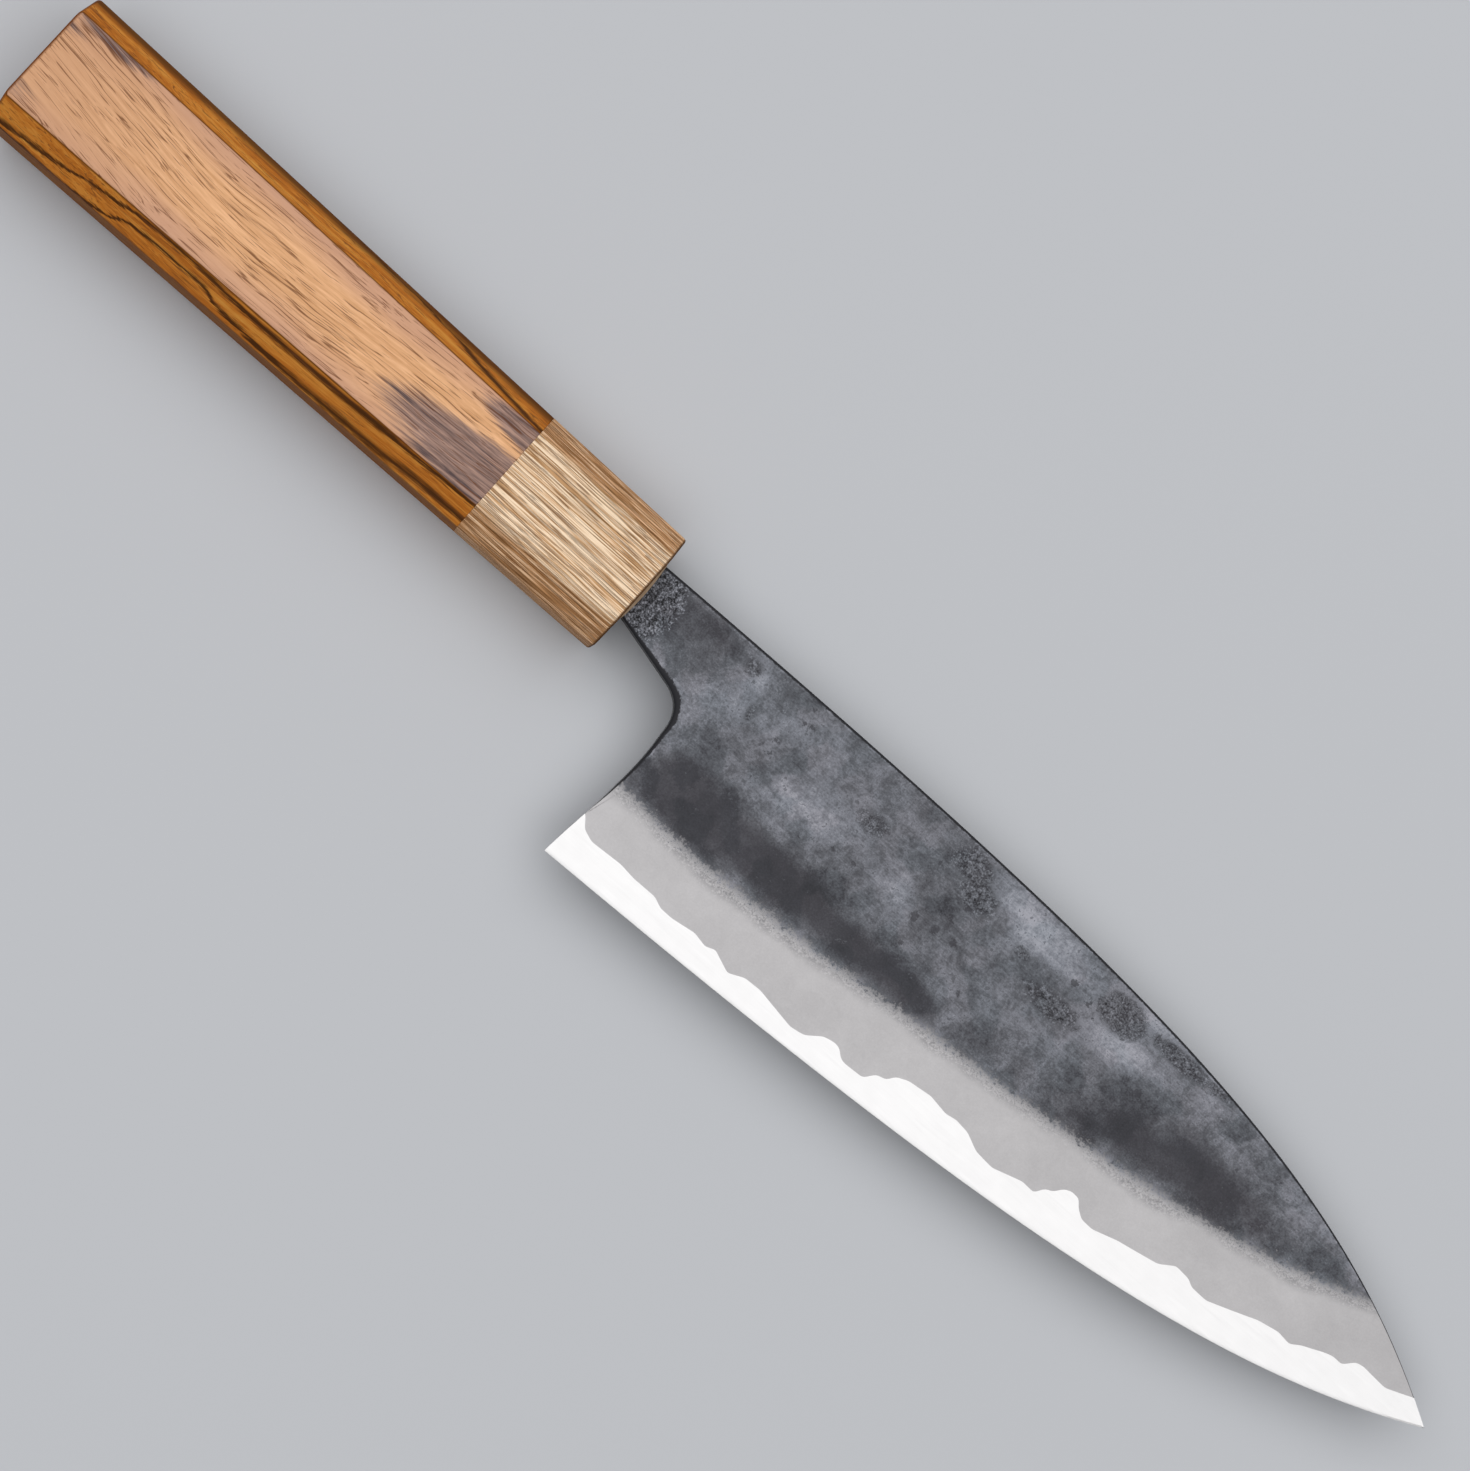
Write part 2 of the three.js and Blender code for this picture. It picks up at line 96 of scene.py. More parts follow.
def curve_points(controls, count):
    """Points along a cubic curve with these four control points."""
    t = np.linspace(0, 1, count)[:, None]
    a, b, c, d = np.array(controls, float)
    return a * (1 - t) ** 3 + 3 * b * t * (1 - t) ** 2 + 3 * c * t**2 * (1 - t) + d * t**3


def soft_line(points, blur):
    """A line through points with its corners rounded off over that many mm, as a function of x."""
    fine = np.arange(-20, 220, 0.1)
    reach = np.arange(-4 * blur, 4 * blur + 0.05, 0.1)
    bell = np.exp(-0.5 * (reach / blur) ** 2)
    raw = np.interp(fine, *np.array(points, float).T)
    raw = np.pad(raw, (len(bell) // 2, len(bell) - 1 - len(bell) // 2), mode="edge")
    soft = np.convolve(raw, bell / bell.sum(), mode="valid")
    return lambda x: np.interp(x, fine, soft)


spine_points, edge_points = curve_points(SPINE_CURVE, CURVE_STEPS), curve_points(EDGE_CURVE, CURVE_STEPS)
choil_points = curve_points(CHOIL_CURVE, SEARCH_STEPS)
grind_height = soft_line(GRIND_LINE, 5)
weld_heights = {side: soft_line(points, 0.3) for side, points in WELD_LINES.items()}


def spine_at(x):
    return np.interp(x, *spine_points.T)


def edge_at(x):
    return np.interp(x, *edge_points.T)


def weld_at(side, x):
    return edge_at(x) + weld_heights[side](x)


def face_half(x, y):
    """Half the blade's thickness: flats that taper to the tip and the tang's end, and a bevel to the edge."""
    to_tip = (TIP_THICKNESS - NECK_THICKNESS) * x / TIP[0]
    to_end = (NECK_THICKNESS - TANG_END_THICKNESS) * x / TANG_LENGTH
    flat = (NECK_THICKNESS + np.where(x > 0, to_tip, to_end)) / 2
    climb = (y - edge_at(x)) / grind_height(x)
    soft = 0.05
    part = np.clip(0.5 + 0.5 * (1 - climb) / soft, 0, 1)
    climb = 1 + (climb - 1) * part - soft * part * (1 - part)
    return EDGE_THICKNESS / 2 + (flat - EDGE_THICKNESS / 2) * climb


def core_half(side, x):
    x = np.clip(x, HEEL[0] + 1, TIP[0])
    return face_half(x, np.minimum(weld_at(side, x), spine_at(x)))


def face_borders(side):
    """Matching points along the upper and lower border of one face of the cladding, from the end of the tang
    round the choil and along the weld line to the tip, and how many of them lie before the weld line."""
    turn = np.radians(np.linspace(0, 90, ROUND_COLUMNS))
    round_middle = TANG_END_RADIUS - TANG_LENGTH
    straight = np.linspace(STRAIGHT_START, TANG_ROOT, STRAIGHT_COLUMNS)
    straight_half = np.interp(straight, [round_middle, TANG_ROOT], [TANG_END_RADIUS, TANG_ROOT_HALF])
    x = np.concatenate([round_middle - TANG_END_RADIUS * np.cos(turn), straight])
    half = np.concatenate([TANG_END_RADIUS * np.sin(turn), straight_half])
    tang_upper, tang_lower = np.stack([x, TANG_MIDDLE + half], 1), np.stack([x, TANG_MIDDLE - half], 1)
    x = np.linspace(TANG_ROOT + 0.1, CORNER_START - 0.2, NECK_COLUMNS)
    neck_upper = np.stack([x, spine_at(x)], 1)
    neck_lower = np.stack([x, -NECK_DROP - NECK_FALL * np.maximum(x, 0)], 1)
    corner = curve_points(CORNER_CURVE, CORNER_COLUMNS)
    choil = choil_points[: np.argmax(choil_points[:, 1] < weld_at(side, choil_points[:, 0]))]
    choil = choil[np.linspace(0, len(choil) - 1, CHOIL_COLUMNS + 1).astype(int)[1:]]
    near_tip = np.linspace(LAST_STRETCH, TIP[0] - 0.5, SEARCH_STEPS)
    meeting = near_tip[np.argmax(weld_at(side, near_tip) > spine_at(near_tip))]
    upright = np.linspace(FAN_END, meeting, UPRIGHT_COLUMNS + 1)[1:]
    x = np.concatenate([np.linspace(choil[-1, 0], FAN_END, FAN_COLUMNS + 1)[1:], upright])
    weld_lower = np.stack([x, np.minimum(weld_at(side, x), spine_at(x))], 1)
    lower = np.concatenate([tang_lower, neck_lower, corner, choil, weld_lower])
    fanned = np.linspace(CORNER_START, FAN_END, len(corner) + len(choil) + FAN_COLUMNS)
    x = np.concatenate([fanned, upright])
    upper = np.concatenate([tang_upper, neck_upper, np.stack([x, spine_at(x)], 1)])
    return upper, lower, len(lower) - len(weld_lower)


def weld_face(side, upper, lower):
    """Points of the face along which the core and a cladding are welded, column by column."""
    share = np.linspace(0, 1, INNER_ROWS)[None, :, None]
    flat = upper[:, None] * (1 - share) + lower[:, None] * share
    z = SIGNS[side] * core_half(side, flat[..., 0])
    return np.concatenate([flat, z[..., None]], -1).reshape(-1, 3)


def grid_faces(first, columns, rows):
    """Quads of a grid whose points are numbered column by column."""
    at = first + np.arange(columns)[:, None] * rows + np.arange(rows)
    return np.stack([at[:-1, :-1], at[1:, :-1], at[1:, 1:], at[:-1, 1:]], -1).reshape(-1, 4)


def strip_faces(a, b):
    """Quads between two rows of points."""
    return np.stack([a[:-1], a[1:], b[1:], b[:-1]], -1)


def put_in_scene(name, data):
    """A new object of that name, made of this mesh, light or camera."""
    made = bpy.data.objects.new(name, data)
    bpy.context.scene.collection.objects.link(made)
    return made


def piece_from(name, points, faces, sharp):
    """A closed piece from points in mm and faces, with doubled points merged and faces turned outwards. It is
    smooth, apart from edges that turn by more than so many degrees."""
    mesh = bpy.data.meshes.new(name)
    metres = (np.concatenate(points) + FERRULE_FRONT) / 1000
    mesh.from_pydata(metres.tolist(), [], np.concatenate(faces).tolist())
    made = bmesh.new()
    made.from_mesh(mesh)
    bmesh.ops.remove_doubles(made, verts=made.verts, dist=2e-6)
    bmesh.ops.dissolve_degenerate(made, edges=made.edges, dist=1e-7)
    bmesh.ops.recalc_face_normals(made, faces=made.faces)
    made.to_mesh(mesh)
    made.free()
    mesh.shade_smooth()
    mesh.set_sharp_from_angle(angle=math.radians(sharp))
    return put_in_scene(name, mesh)


def places(piece):
    """The piece's points in mm from the ferrule's front."""
    found = np.zeros(len(piece.data.vertices) * 3)
    piece.data.vertices.foreach_get("co", found)
    return found.reshape(-1, 3) * 1000 - FERRULE_FRONT


def mark(piece, name, values):
    """Keeps one number for each point of the piece, for its material to read."""
    kept = piece.data.attributes.new(name, "FLOAT", "POINT")
    kept.data.foreach_set("value", values.astype(np.float32))


core_points, core_faces, rims, first = [], [], {}, 0
for side, sign in SIGNS.items():
    upper, lower, before_weld = face_borders(side)
    core_points.append(weld_face(side, upper, lower))
    core_faces.append(grid_faces(first, len(upper), INNER_ROWS))
    numbers = first + np.arange(len(upper)) * INNER_ROWS
    top_rim, choil_rim = numbers, (numbers + INNER_ROWS - 1)[:before_weld]
    first += len(core_points[-1])

    x = np.linspace(lower[-1, 0], TIP[0], TIP_COLUMNS + 1)[1:]
    band_top = np.concatenate([lower[before_weld - 1 :], np.stack([x, spine_at(x)], 1)])
    from_choil = band_top[:, 0] - band_top[0, 0]
    x = band_top[:, 0] - (band_top[0, 0] - HEEL[0]) * np.clip(1 - from_choil / HEEL_LEAN, 0, 1)
    band_bottom = np.stack([x, edge_at(x)], 1)
    height = np.linalg.norm(band_top - band_bottom, axis=1)[:, None]
    honed = np.clip(HONED / np.maximum(height, 1e-6), 0, 0.5)
    unhoned = np.linspace(0, 1, BAND_ROWS - 1) * (1 - honed)
    share = np.concatenate([unhoned, np.ones_like(honed)], 1)[..., None]
    band = band_top[:, None] * (1 - share) + band_bottom[:, None] * share
    wanted = band_top[0, 1] + (HEEL[1] - band_top[0, 1]) * share[0, :, 0]
    bulge = np.interp(-wanted, -choil_points[:, 1], choil_points[:, 0]) - band[0, :, 0]
    band[..., 0] += bulge * np.clip(1 - from_choil / HEEL_BULGE, 0, 1)[:, None] ** 2
    z = face_half(band[..., 0], band[..., 1])
    z[:, -1] = HONED_EDGE
    z[-1] = 0
    core_points.append(np.concatenate([band, sign * z[..., None]], -1).reshape(-1, 3))
    core_faces.append(grid_faces(first, len(band), BAND_ROWS))
    numbers = first + np.arange(len(band)) * BAND_ROWS
    rims[side] = {
        "upper": np.concatenate([top_rim, numbers[-TIP_COLUMNS - 1 :]]),
        "lower": np.concatenate([choil_rim, first + np.arange(BAND_ROWS), numbers + BAND_ROWS - 1]),
    }
    first += len(core_points[-1])
core_faces += [strip_faces(rims["right"][rim], rims["left"][rim]) for rim in ("upper", "lower")]
core = piece_from("core_steel_blade", core_points, core_faces, 12)
x, y, z = places(core).T
on_weld = np.maximum(x, WELD_START)
above_weld = (y - np.where(z > 0, weld_at("right", on_weld), weld_at("left", on_weld))) / WELD_FADE
black_rim = np.clip((y - RIM_SCALE_END) / RIM_SCALE_FADE, 0, 1)
mark(core, "scale_share", black_rim * np.clip(above_weld - 0.2, 0, 1))


def linear(colour):
    """An sRGB hex colour as linear red, green, blue and alpha."""
    parts = [int(colour[i : i + 2], 16) / 255 for i in (1, 3, 5)]
    return [p / 12.92 if p <= 0.04045 else ((p + 0.055) / 1.055) ** 2.4 for p in parts] + [1]


def add(tree, kind, inputs=(), **settings):
    """Adds a node with its settings, a shader's unless its kind says otherwise. An input, by name or number,
    takes a value or a socket, or a node, which stands for the first of its outputs that is in use."""
    made = tree.nodes.new(kind if "Node" in kind else f"ShaderNode{kind}")
    for name, value in settings.items():
        setattr(made, name, value)
    for key, value in dict(inputs).items():
        if isinstance(value, bpy.types.Node):
            value = next(output for output in value.outputs if output.enabled)
        if isinstance(value, bpy.types.NodeSocket):
            tree.links.new(value, made.inputs[key])
        else:
            made.inputs[key].default_value = value
    return made


def new_material(name):
    """An empty material, its node tree, and Object coordinates in mm from the ferrule's front."""
    material = bpy.data.materials.new(name)
    material.use_nodes = True
    tree = material.node_tree
    tree.nodes.clear()
    place = add(tree, "TexCoord").outputs["Object"]
    mm = add(tree, "Mapping", {"Vector": place, "Location": -FERRULE_FRONT, "Scale": (1000,) * 3})
    return material, tree, mm


def drawn_out(tree, place, sizes, **pattern):
    """A pattern of marks with these sizes in mm along x, y and z."""
    stretched = add(tree, "Mapping", {"Vector": place, "Scale": [1 / size for size in sizes]})
    return add(tree, "TexNoise", {"Vector": stretched, "Scale": 1} | pattern)


# Carbon steel from fine stones: bright and even, with a haze of tiny scratches that softens its reflections.
# The scratches are too fine to show, so they are drawn coarser, 0.12 mm wide.
polished_steel, tree, mm = new_material("stone_polished_carbon_steel")
haze = add(tree, "TexNoise", {"Vector": mm, "Scale": 1 / 2.5, "Detail": 4})
scratch = drawn_out(tree, mm, (6, 0.12, 1), Detail=3)
scale_share = add(tree, "Attribute", attribute_name="scale_share").outputs["Fac"]
steel = add(tree, "Mix", {0: haze, 6: linear("#cecdcd"), 7: linear("#d3d2d2")}, data_type="RGBA")
colour = add(tree, "Mix", {0: scale_share, 6: steel, 7: linear("#2b2b2d")}, data_type="RGBA")
gloss = add(tree, "MapRange", {0: scratch, 1: 0.3, 2: 0.7, 3: 0.38, 4: 0.46})
gloss = add(tree, "Mix", {0: scale_share, 2: gloss, 3: 0.5})
metal = add(tree, "MapRange", {0: scale_share, 3: 1, 4: 0.2})
bump = add(tree, "Bump", {"Height": scratch, "Strength": 0.02, "Distance": 0.00002})
surface = add(tree, "BsdfPrincipled", {
    "Base Color": colour, "Metallic": metal, "Roughness": gloss, "Normal": bump})
add(tree, "OutputMaterial", {"Surface": surface})
core.data.materials.append(polished_steel)
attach(core, "root")
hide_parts("core_steel")

# The blade's two outer layers: soft iron, forged on to the core, with black scale left on the flats.
# The ground bevel cuts down through scale and iron, which thins to nothing at its weld line; the corners
# along the spine, the neck and the choil are eased with a file.
# Depth of the eased corners, the least of it, and the wall that is left below them
SPINE_EASE, NECK_EASE, LEAST_EASE, SIDE_WALL = 0.35, 0.5, 0.001, 0.1
SPINE_STRIP, WELD_STRIP = 0.2, 0.25  # least reach of the rows of faces along the spine and the weld line
MIDDLE_ROWS, EASE_ROWS = 56, 6
HIDDEN_COLUMNS = TANG_COLUMNS + 2  # those inside the handle
HAMMER_DEPTH, HAMMER_FADE = 0.03, 4  # how uneven the flats are, and over what length that sets in
CORNER_POINTS = 600  # places along the neck's underside and the choil from which wear is measured
# How far the eased corner reaches in from the spine and the neck's underside, by x, and from the choil, by y
SPINE_REACH = [(0, 0.46), (140, 0.38), (178, 0.12)]
NECK_REACH = [(0, 0.3), (5, 0.55), (12.2, 0.95)]
CHOIL_REACH = [(-29, 0.05), (-26, 0.25), (-20, 0.4), (-14, 0.5), (-11, 0.8), (-8.5, 1), (-7.2, 0.95)]
# Soft clouds in the scale, pale above zero and sooty below: place, reach along and across, strength
CLOUDS = {
    "right": [
        (29, -19.4, 12, 5.4, -1.1), (24, -16.5, 6, 5, -0.6), (41, -17.4, 8, 3.6, -0.8),
        (52, -18.6, 10, 3.6, -1), (62, -18.4, 6, 2.6, -0.5), (71, -18, 8, 3, -1.1), (91, -14.6, 9, 4, -0.35),
        (103, -14.6, 6, 1.4, -0.25), (116, -11.8, 10, 4.6, -0.95), (127, -9, 9, 4.6, -0.8),
        (141, -8.2, 11, 2.8, -0.45), (153, -5.6, 7, 2, -0.4), (9, -0.5, 10, 6, -0.55), (16, 4, 8, 2, -0.35),
        (27, 4, 4, 1.8, -0.4), (110, -0.6, 6, 2.4, 0.3), (89, 2.6, 8, 3, 1.1), (79, 2.8, 8, 3, 1),
        (63, -7.6, 6, 2, 0.6), (103, -2.8, 7, 2.6, 1.1), (105, 3.6, 6, 3, 0.7), (37, 2.6, 8, 3, 0.45),
        (31, -1, 5, 4, 0.35), (42, -8, 8, 2.4, 0.45), (22, 2.6, 2.6, 1.8, 0.9), (108, 5.2, 5, 1.6, 0.4),
        (20, -9, 4, 5, -0.25), (146, -1.4, 9, 2.6, 0.5), (124, 0.4, 10, 2.6, -0.35),
        (120, -5.4, 6, 2.4, -0.4),
    ],
    "left": [
        (26, -20, 11, 4.8, -1.1), (40, -18.6, 9, 4, -0.9), (56, -18, 12, 3.6, -1), (81, -15.6, 10, 4, -0.9),
        (101, -13, 9, 3.4, -1), (122, -11, 11, 4.2, -1), (141, -7.6, 10, 2.8, -0.85), (154, -5.2, 7, 2, -0.8),
        (8, 0, 8, 5, -0.4), (49, 3, 8, 2, -0.4), (33, -2, 9, 3, 0.6), (58, -6, 8, 3, 0.6), (76, 2, 7, 3, 0.8),
        (94, -3, 8, 3, 0.6), (112, 1, 7, 2.4, 0.6), (19, -8, 5, 4, 0.4),
    ],
}
# Rough flakes with a sharp border: place, reach along and across, strength
FLAKES = {
    "right": [
        (99.6, 1.5, 5, 3.4, 1), (111.5, 2.3, 7, 1.7, 0.95), (119.5, 2.6, 5, 1.4, 0.64),
        (90, -4.8, 6.6, 2.5, 0.85), (66.6, 3.4, 5, 3.2, 0.8), (70.4, 0.2, 4.2, 3, 0.9),
        (81.4, -1.8, 2.4, 1.3, 0.7), (50.5, -2, 4.4, 2.6, 0.68), (3, 1, 4, 8, 1), (20.6, 3.4, 2.4, 2.2, 0.72),
        (28.4, 1.4, 1.4, 1, 0.6), (25, -2, 1.6, 2.6, 0.62), (122, -0.4, 3, 1, 0.55),
    ],
    "left": [
        (44, 1, 4.4, 2.6, 0.9), (62, -4.6, 5, 1.8, 0.75), (84, 3.4, 4.4, 1.8, 1), (98, -1.6, 5.4, 2.2, 0.75),
        (119, 1.4, 5.6, 1.6, 0.85), (2.2, 1, 2.6, 8, 1), (28, -5, 3, 1.8, 0.65), (132, -2.4, 4, 1.2, 0.6),
    ],
}


def forging(x, y, seed):
    """The slight unevenness that the hammer leaves, from -1 to 1, in marks of about 11 by 8 and 4 by 3 mm."""
    return np.array([
        noise.noise(Vector((a / 11, b / 8, seed))) + 0.4 * noise.noise(Vector((a / 4, b / 3, seed + 9)))
        for a, b in zip(x, y)]) / 1.4


def reach_along(line):
    """Reach of the eased corner at points along the neck's underside and the choil."""
    by_neck = np.interp(line[:, 0], *np.array(NECK_REACH).T)
    by_choil = np.interp(line[:, 1], *np.array(CHOIL_REACH).T)
    return np.where(line[:, 0] < CORNER_START, by_neck, by_choil)


def spots(x, y, patches):
    """Round patches that fade out from their middle, each with its own strength."""
    return [
        strength * np.exp(-(((x - a) / along) ** 2) - ((y - b) / across) ** 2)
        for a, b, along, across, strength in patches]


claddings = {}
for side, sign in SIGNS.items():
    upper, lower, before_weld = face_borders(side)
    count = len(upper)
    inner_upper, inner_lower = core_half(side, upper[:, 0]), core_half(side, lower[:, 0])
    length = np.linalg.norm(upper - lower, axis=1)
    part = np.clip(length / 2, 0, 1)
    upper_ease = np.clip((face_half(*upper.T) - inner_upper) / 2, 0, SPINE_EASE) * part
    reach = reach_along(lower)
    deepest = np.minimum(reach, NECK_EASE)
    lower_ease = np.clip(face_half(*lower.T) - inner_lower - SIDE_WALL, LEAST_EASE, deepest) * part
    lower_ease[:HIDDEN_COLUMNS] = upper_ease[:HIDDEN_COLUMNS]
    lower_ease[before_weld:] = 0.0
    steps = np.linspace(0, math.pi / 2, EASE_ROWS)
    going_in, going_down = 1 - np.cos(steps), 1 - np.sin(steps)
    upper_reach = np.minimum(np.maximum(upper_ease, SPINE_STRIP), length / 4)
    lower_reach = np.where(np.arange(count) < before_weld, np.maximum(reach, WELD_STRIP), WELD_STRIP)
    from_weld = np.linalg.norm(lower - lower[before_weld - 1], axis=1)
    lower_reach = np.minimum(np.minimum(lower_reach, length / 4), LEAST_EASE + 0.3 * from_weld)
    slope = np.gradient(lower, axis=0)
    steepness = np.maximum(np.linalg.norm(slope, axis=1), 1e-9)
    inward = np.stack([-slope[:, 1], slope[:, 0]], 1) / steepness[:, None]
    inward[before_weld - 1 :] = (0, 1)
    inward[:HIDDEN_COLUMNS] = (0, 1)
    top = upper[:, None] + (upper_reach[:, None] * going_in)[..., None] * np.array([0, -1.0])
    bottom = lower[:, None] + (lower_reach[:, None] * going_in)[..., None] * inward[:, None]
    share = np.linspace(0, 1, MIDDLE_ROWS + 2)[None, 1:-1, None]
    middle = top[:, -1:] * (1 - share) + bottom[:, -1:] * share
    outer = np.concatenate([top, middle, bottom[:, ::-1]], 1)
    upper_drop, lower_drop = upper_ease[:, None] * going_down, lower_ease[:, None] * going_down[::-1]
    drop = np.concatenate([upper_drop, np.zeros((count, MIDDLE_ROWS)), lower_drop], 1).ravel()
    x, y = outer[..., 0].ravel(), outer[..., 1].ravel()
    on_flat = np.clip((y - edge_at(x) - grind_height(x)) / HAMMER_FADE, 0, 1)
    on_flat *= np.clip((x - 1) / HAMMER_FADE, 0, 1)
    z = face_half(x, y) - drop + HAMMER_DEPTH * forging(x, y, sign) * on_flat
    z = np.maximum(z, core_half(side, x))
    points = [np.stack([x, y, sign * z], 1), weld_face(side, upper, lower)]
    first, rows = len(points[0]), outer.shape[1]
    outside, inside = np.arange(count) * rows, first + np.arange(count) * INNER_ROWS
    faces = [
        grid_faces(0, count, rows), grid_faces(first, count, INNER_ROWS), strip_faces(outside, inside),
        strip_faces((outside + rows - 1)[: before_weld + 1], (inside + INNER_ROWS - 1)[: before_weld + 1])]
    cladding = piece_from(f"{side}_cladding_forged", points, faces, 40)
    x, y, z = places(cladding).T
    mark(cladding, "above_grind", np.clip(y - edge_at(x) - grind_height(x), -20, 20))
    mark(cladding, "cloud", np.sum(spots(x, y, CLOUDS[side]), axis=0))
    mark(cladding, "flake", np.max(spots(x, y, FLAKES[side]), axis=0))
    from_corner = (spine_at(x) - y) / np.interp(x, *np.array(SPINE_REACH).T)
    corner = lower[TANG_COLUMNS:before_weld]
    shares, fine = np.linspace(0, 1, len(corner)), np.linspace(0, 1, CORNER_POINTS)
    corner = np.stack([np.interp(fine, shares, column) for column in corner.T], 1)
    for (corner_x, corner_y), wide in zip(corner, reach_along(corner)):
        from_corner = np.minimum(from_corner, np.hypot(x - corner_x, y - corner_y) / wide)
    mark(cladding, "from_corner", np.clip(from_corner, 0, 9))
    claddings[side] = cladding


def weighed(tree, start, *parts):
    """The sum of a start and noises about zero, each with its weight."""
    for pattern, weight in parts:
        start = add(tree, "Math", {0: pattern, 1: weight, 2: start}, operation="MULTIPLY_ADD")
        start = add(tree, "Math", {0: start, 1: weight / 2}, operation="SUBTRACT")
    return start


def set_stops(ramp, colours):
    """Gives a colour ramp its colours by their places, from 0 to 1."""
    stops = ramp.color_ramp.elements
    stops[0].color, stops[1].color = linear(colours[0]), linear(colours[1])
    for place in sorted(colours)[1:-1]:
        stops.new(place).color = linear(colours[place])


SOFT_STEP = {"interpolation_type": "SMOOTHSTEP"}  # setting for a share that starts and ends softly

# Soft iron as forged and ground: grey scale, mottled with paler clouds, sooty bands and rough flakes, and
# crusted by the neck. Its eased corners are painted dark as shade, on the scale and on the ground iron alike,
# with a thin painted highlight in dashes beside them. It ends in a ragged border on the ground bevel, which
# is matt grey with a speckled fringe. Brush strokes on the scale are drawn coarser than they are, 0.28 mm
# wide.
forged_iron, tree, mm = new_material("forge_black_soft_iron")
above, cloud, flake, from_corner = [
    add(tree, "Attribute", attribute_name=name).outputs["Fac"]
    for name in ("above_grind", "cloud", "flake", "from_corner")]
# Size of the marks in mm, how many finer ones lie on them, how strong those are, and how bent
MARKS = [(14, 5, 0.52, 0), (2.6, 7, 0.68, 0.8), (0.8, 4, 0.65, 0), (0.3, 2, 0.6, 0), (2.5, 6, 0.7, 0)]
billows, mottle, flecks, grit, torn = [
    add(tree, "TexNoise", {
        "Vector": mm, "Scale": 1 / size, "Detail": finer, "Roughness": strong, "Distortion": bent})
    for size, finer, strong, bent in MARKS]
brushing = add(tree, "Mapping", {
    "Vector": mm, "Rotation": (0, 0, math.radians(3)), "Scale": (1 / 6, 1 / 0.28, 1)})
strokes = add(tree, "TexNoise", {"Vector": brushing, "Scale": 1, "Detail": 3})
torn = add(tree, "VectorMath", {0: torn.outputs["Color"], 1: (4, 4, 0), 2: mm}, operation="MULTIPLY_ADD")
plates = add(tree, "TexVoronoi", {"Vector": torn, "Scale": 1 / 3.6, "Smoothness": 0.5},
             voronoi_dimensions="2D", feature="SMOOTH_F1").outputs["Color"]
plates = add(tree, "SeparateColor", {0: plates})

# Clouds and soot
pale = add(tree, "MapRange", {0: cloud, 1: 0, 2: 1, 3: 0.54, 4: 0.87})
shade = weighed(tree, pale, (billows, 0.95), (plates, 0.14), (mottle, 0.9), (flecks, 0.6), (grit, 0.4),
                (strokes, 0.25))
sooty = weighed(tree, cloud, (billows, 0.75), (plates, 0.15), (mottle, 0.5), (grit, 0.3))
sooty = add(tree, "MapRange", {0: sooty, 1: 0, 2: -1}, **SOFT_STEP)
soot = weighed(tree, 0.24, (billows, 0.25), (plates, 0.08), (mottle, 0.2), (grit, 0.2))

# Flakes, with a harsher crust by the neck, and specks
rough = weighed(tree, flake, (mottle, 0.9), (flecks, 0.7), (grit, 0.5))
rough = add(tree, "MapRange", {0: rough, 1: 0.4, 2: 0.5, 4: 0.85}, **SOFT_STEP)
crust = weighed(tree, 0.38, (flecks, 1.7), (grit, 1.5))
neck_crust = weighed(tree, 0.4, (flecks, 3.4), (grit, 2.6))
near_neck = add(tree, "SeparateXYZ", {0: mm})
near_neck = add(tree, "MapRange", {0: near_neck, 1: 9, 2: 5})
crust = add(tree, "Mix", {0: near_neck, 2: crust, 3: neck_crust})
frayed = add(tree, "VectorMath", {0: flecks.outputs["Color"], 1: (2, 2, 0), 2: mm}, operation="MULTIPLY_ADD")
dots = add(tree, "TexVoronoi", {"Vector": frayed, "Scale": 1 / 3.4}).outputs["Distance"]
dots = weighed(tree, dots, (grit, 0.2), (billows, 0.9))
dots = add(tree, "MapRange", {0: dots, 1: 0.1, 2: 0.06, 4: 0.6}, **SOFT_STEP)
specks = weighed(tree, 0, (flecks, 1), (mottle, 0.7))
dark_specks = add(tree, "MapRange", {0: specks, 1: 0.13, 2: 0.2, 4: 0.5})
pale_specks = add(tree, "MapRange", {0: specks, 1: -0.18, 2: -0.24, 4: 0.3})

# Painted highlights in dashes beside the corners, and painted shade along the corners themselves
dashes = add(tree, "MapRange", {0: mottle, 1: 0.52, 2: 0.6, 4: 0.4}, **SOFT_STEP)
painted_glint = add(tree, "MapRange", {0: from_corner, 1: 1.8, 2: 1.3, 3: 0, 4: dashes}, **SOFT_STEP)
painted_corner_shade = weighed(tree, from_corner, (flecks, 0.7), (grit, 0.5))
painted_corner_shade = add(tree, "MapRange", {0: painted_corner_shade, 1: 1.15, 2: 0.8}, **SOFT_STEP)
for cover, covered_shade in (
        (sooty, soot), (rough, crust), (dots, 0.2), (dark_specks, 0.22), (pale_specks, 0.85), (painted_glint, 1),
        (painted_corner_shade, 0.06)):
    shade = add(tree, "Mix", {0: cover, 2: shade, 3: covered_shade})
tone = add(tree, "ValToRGB", {0: shade})
set_stops(tone, {0: "#1f1f21", 0.25: "#424145", 0.5: "#616266", 0.75: "#828389", 1: "#a6a6ac"})
tints = add(tree, "Mix", {0: plates, 6: linear("#f6fbff"), 7: linear("#fdfcff")}, data_type="RGBA")
tone = add(tree, "Mix", {0: 1, 6: tone, 7: tints}, data_type="RGBA", blend_type="MULTIPLY")

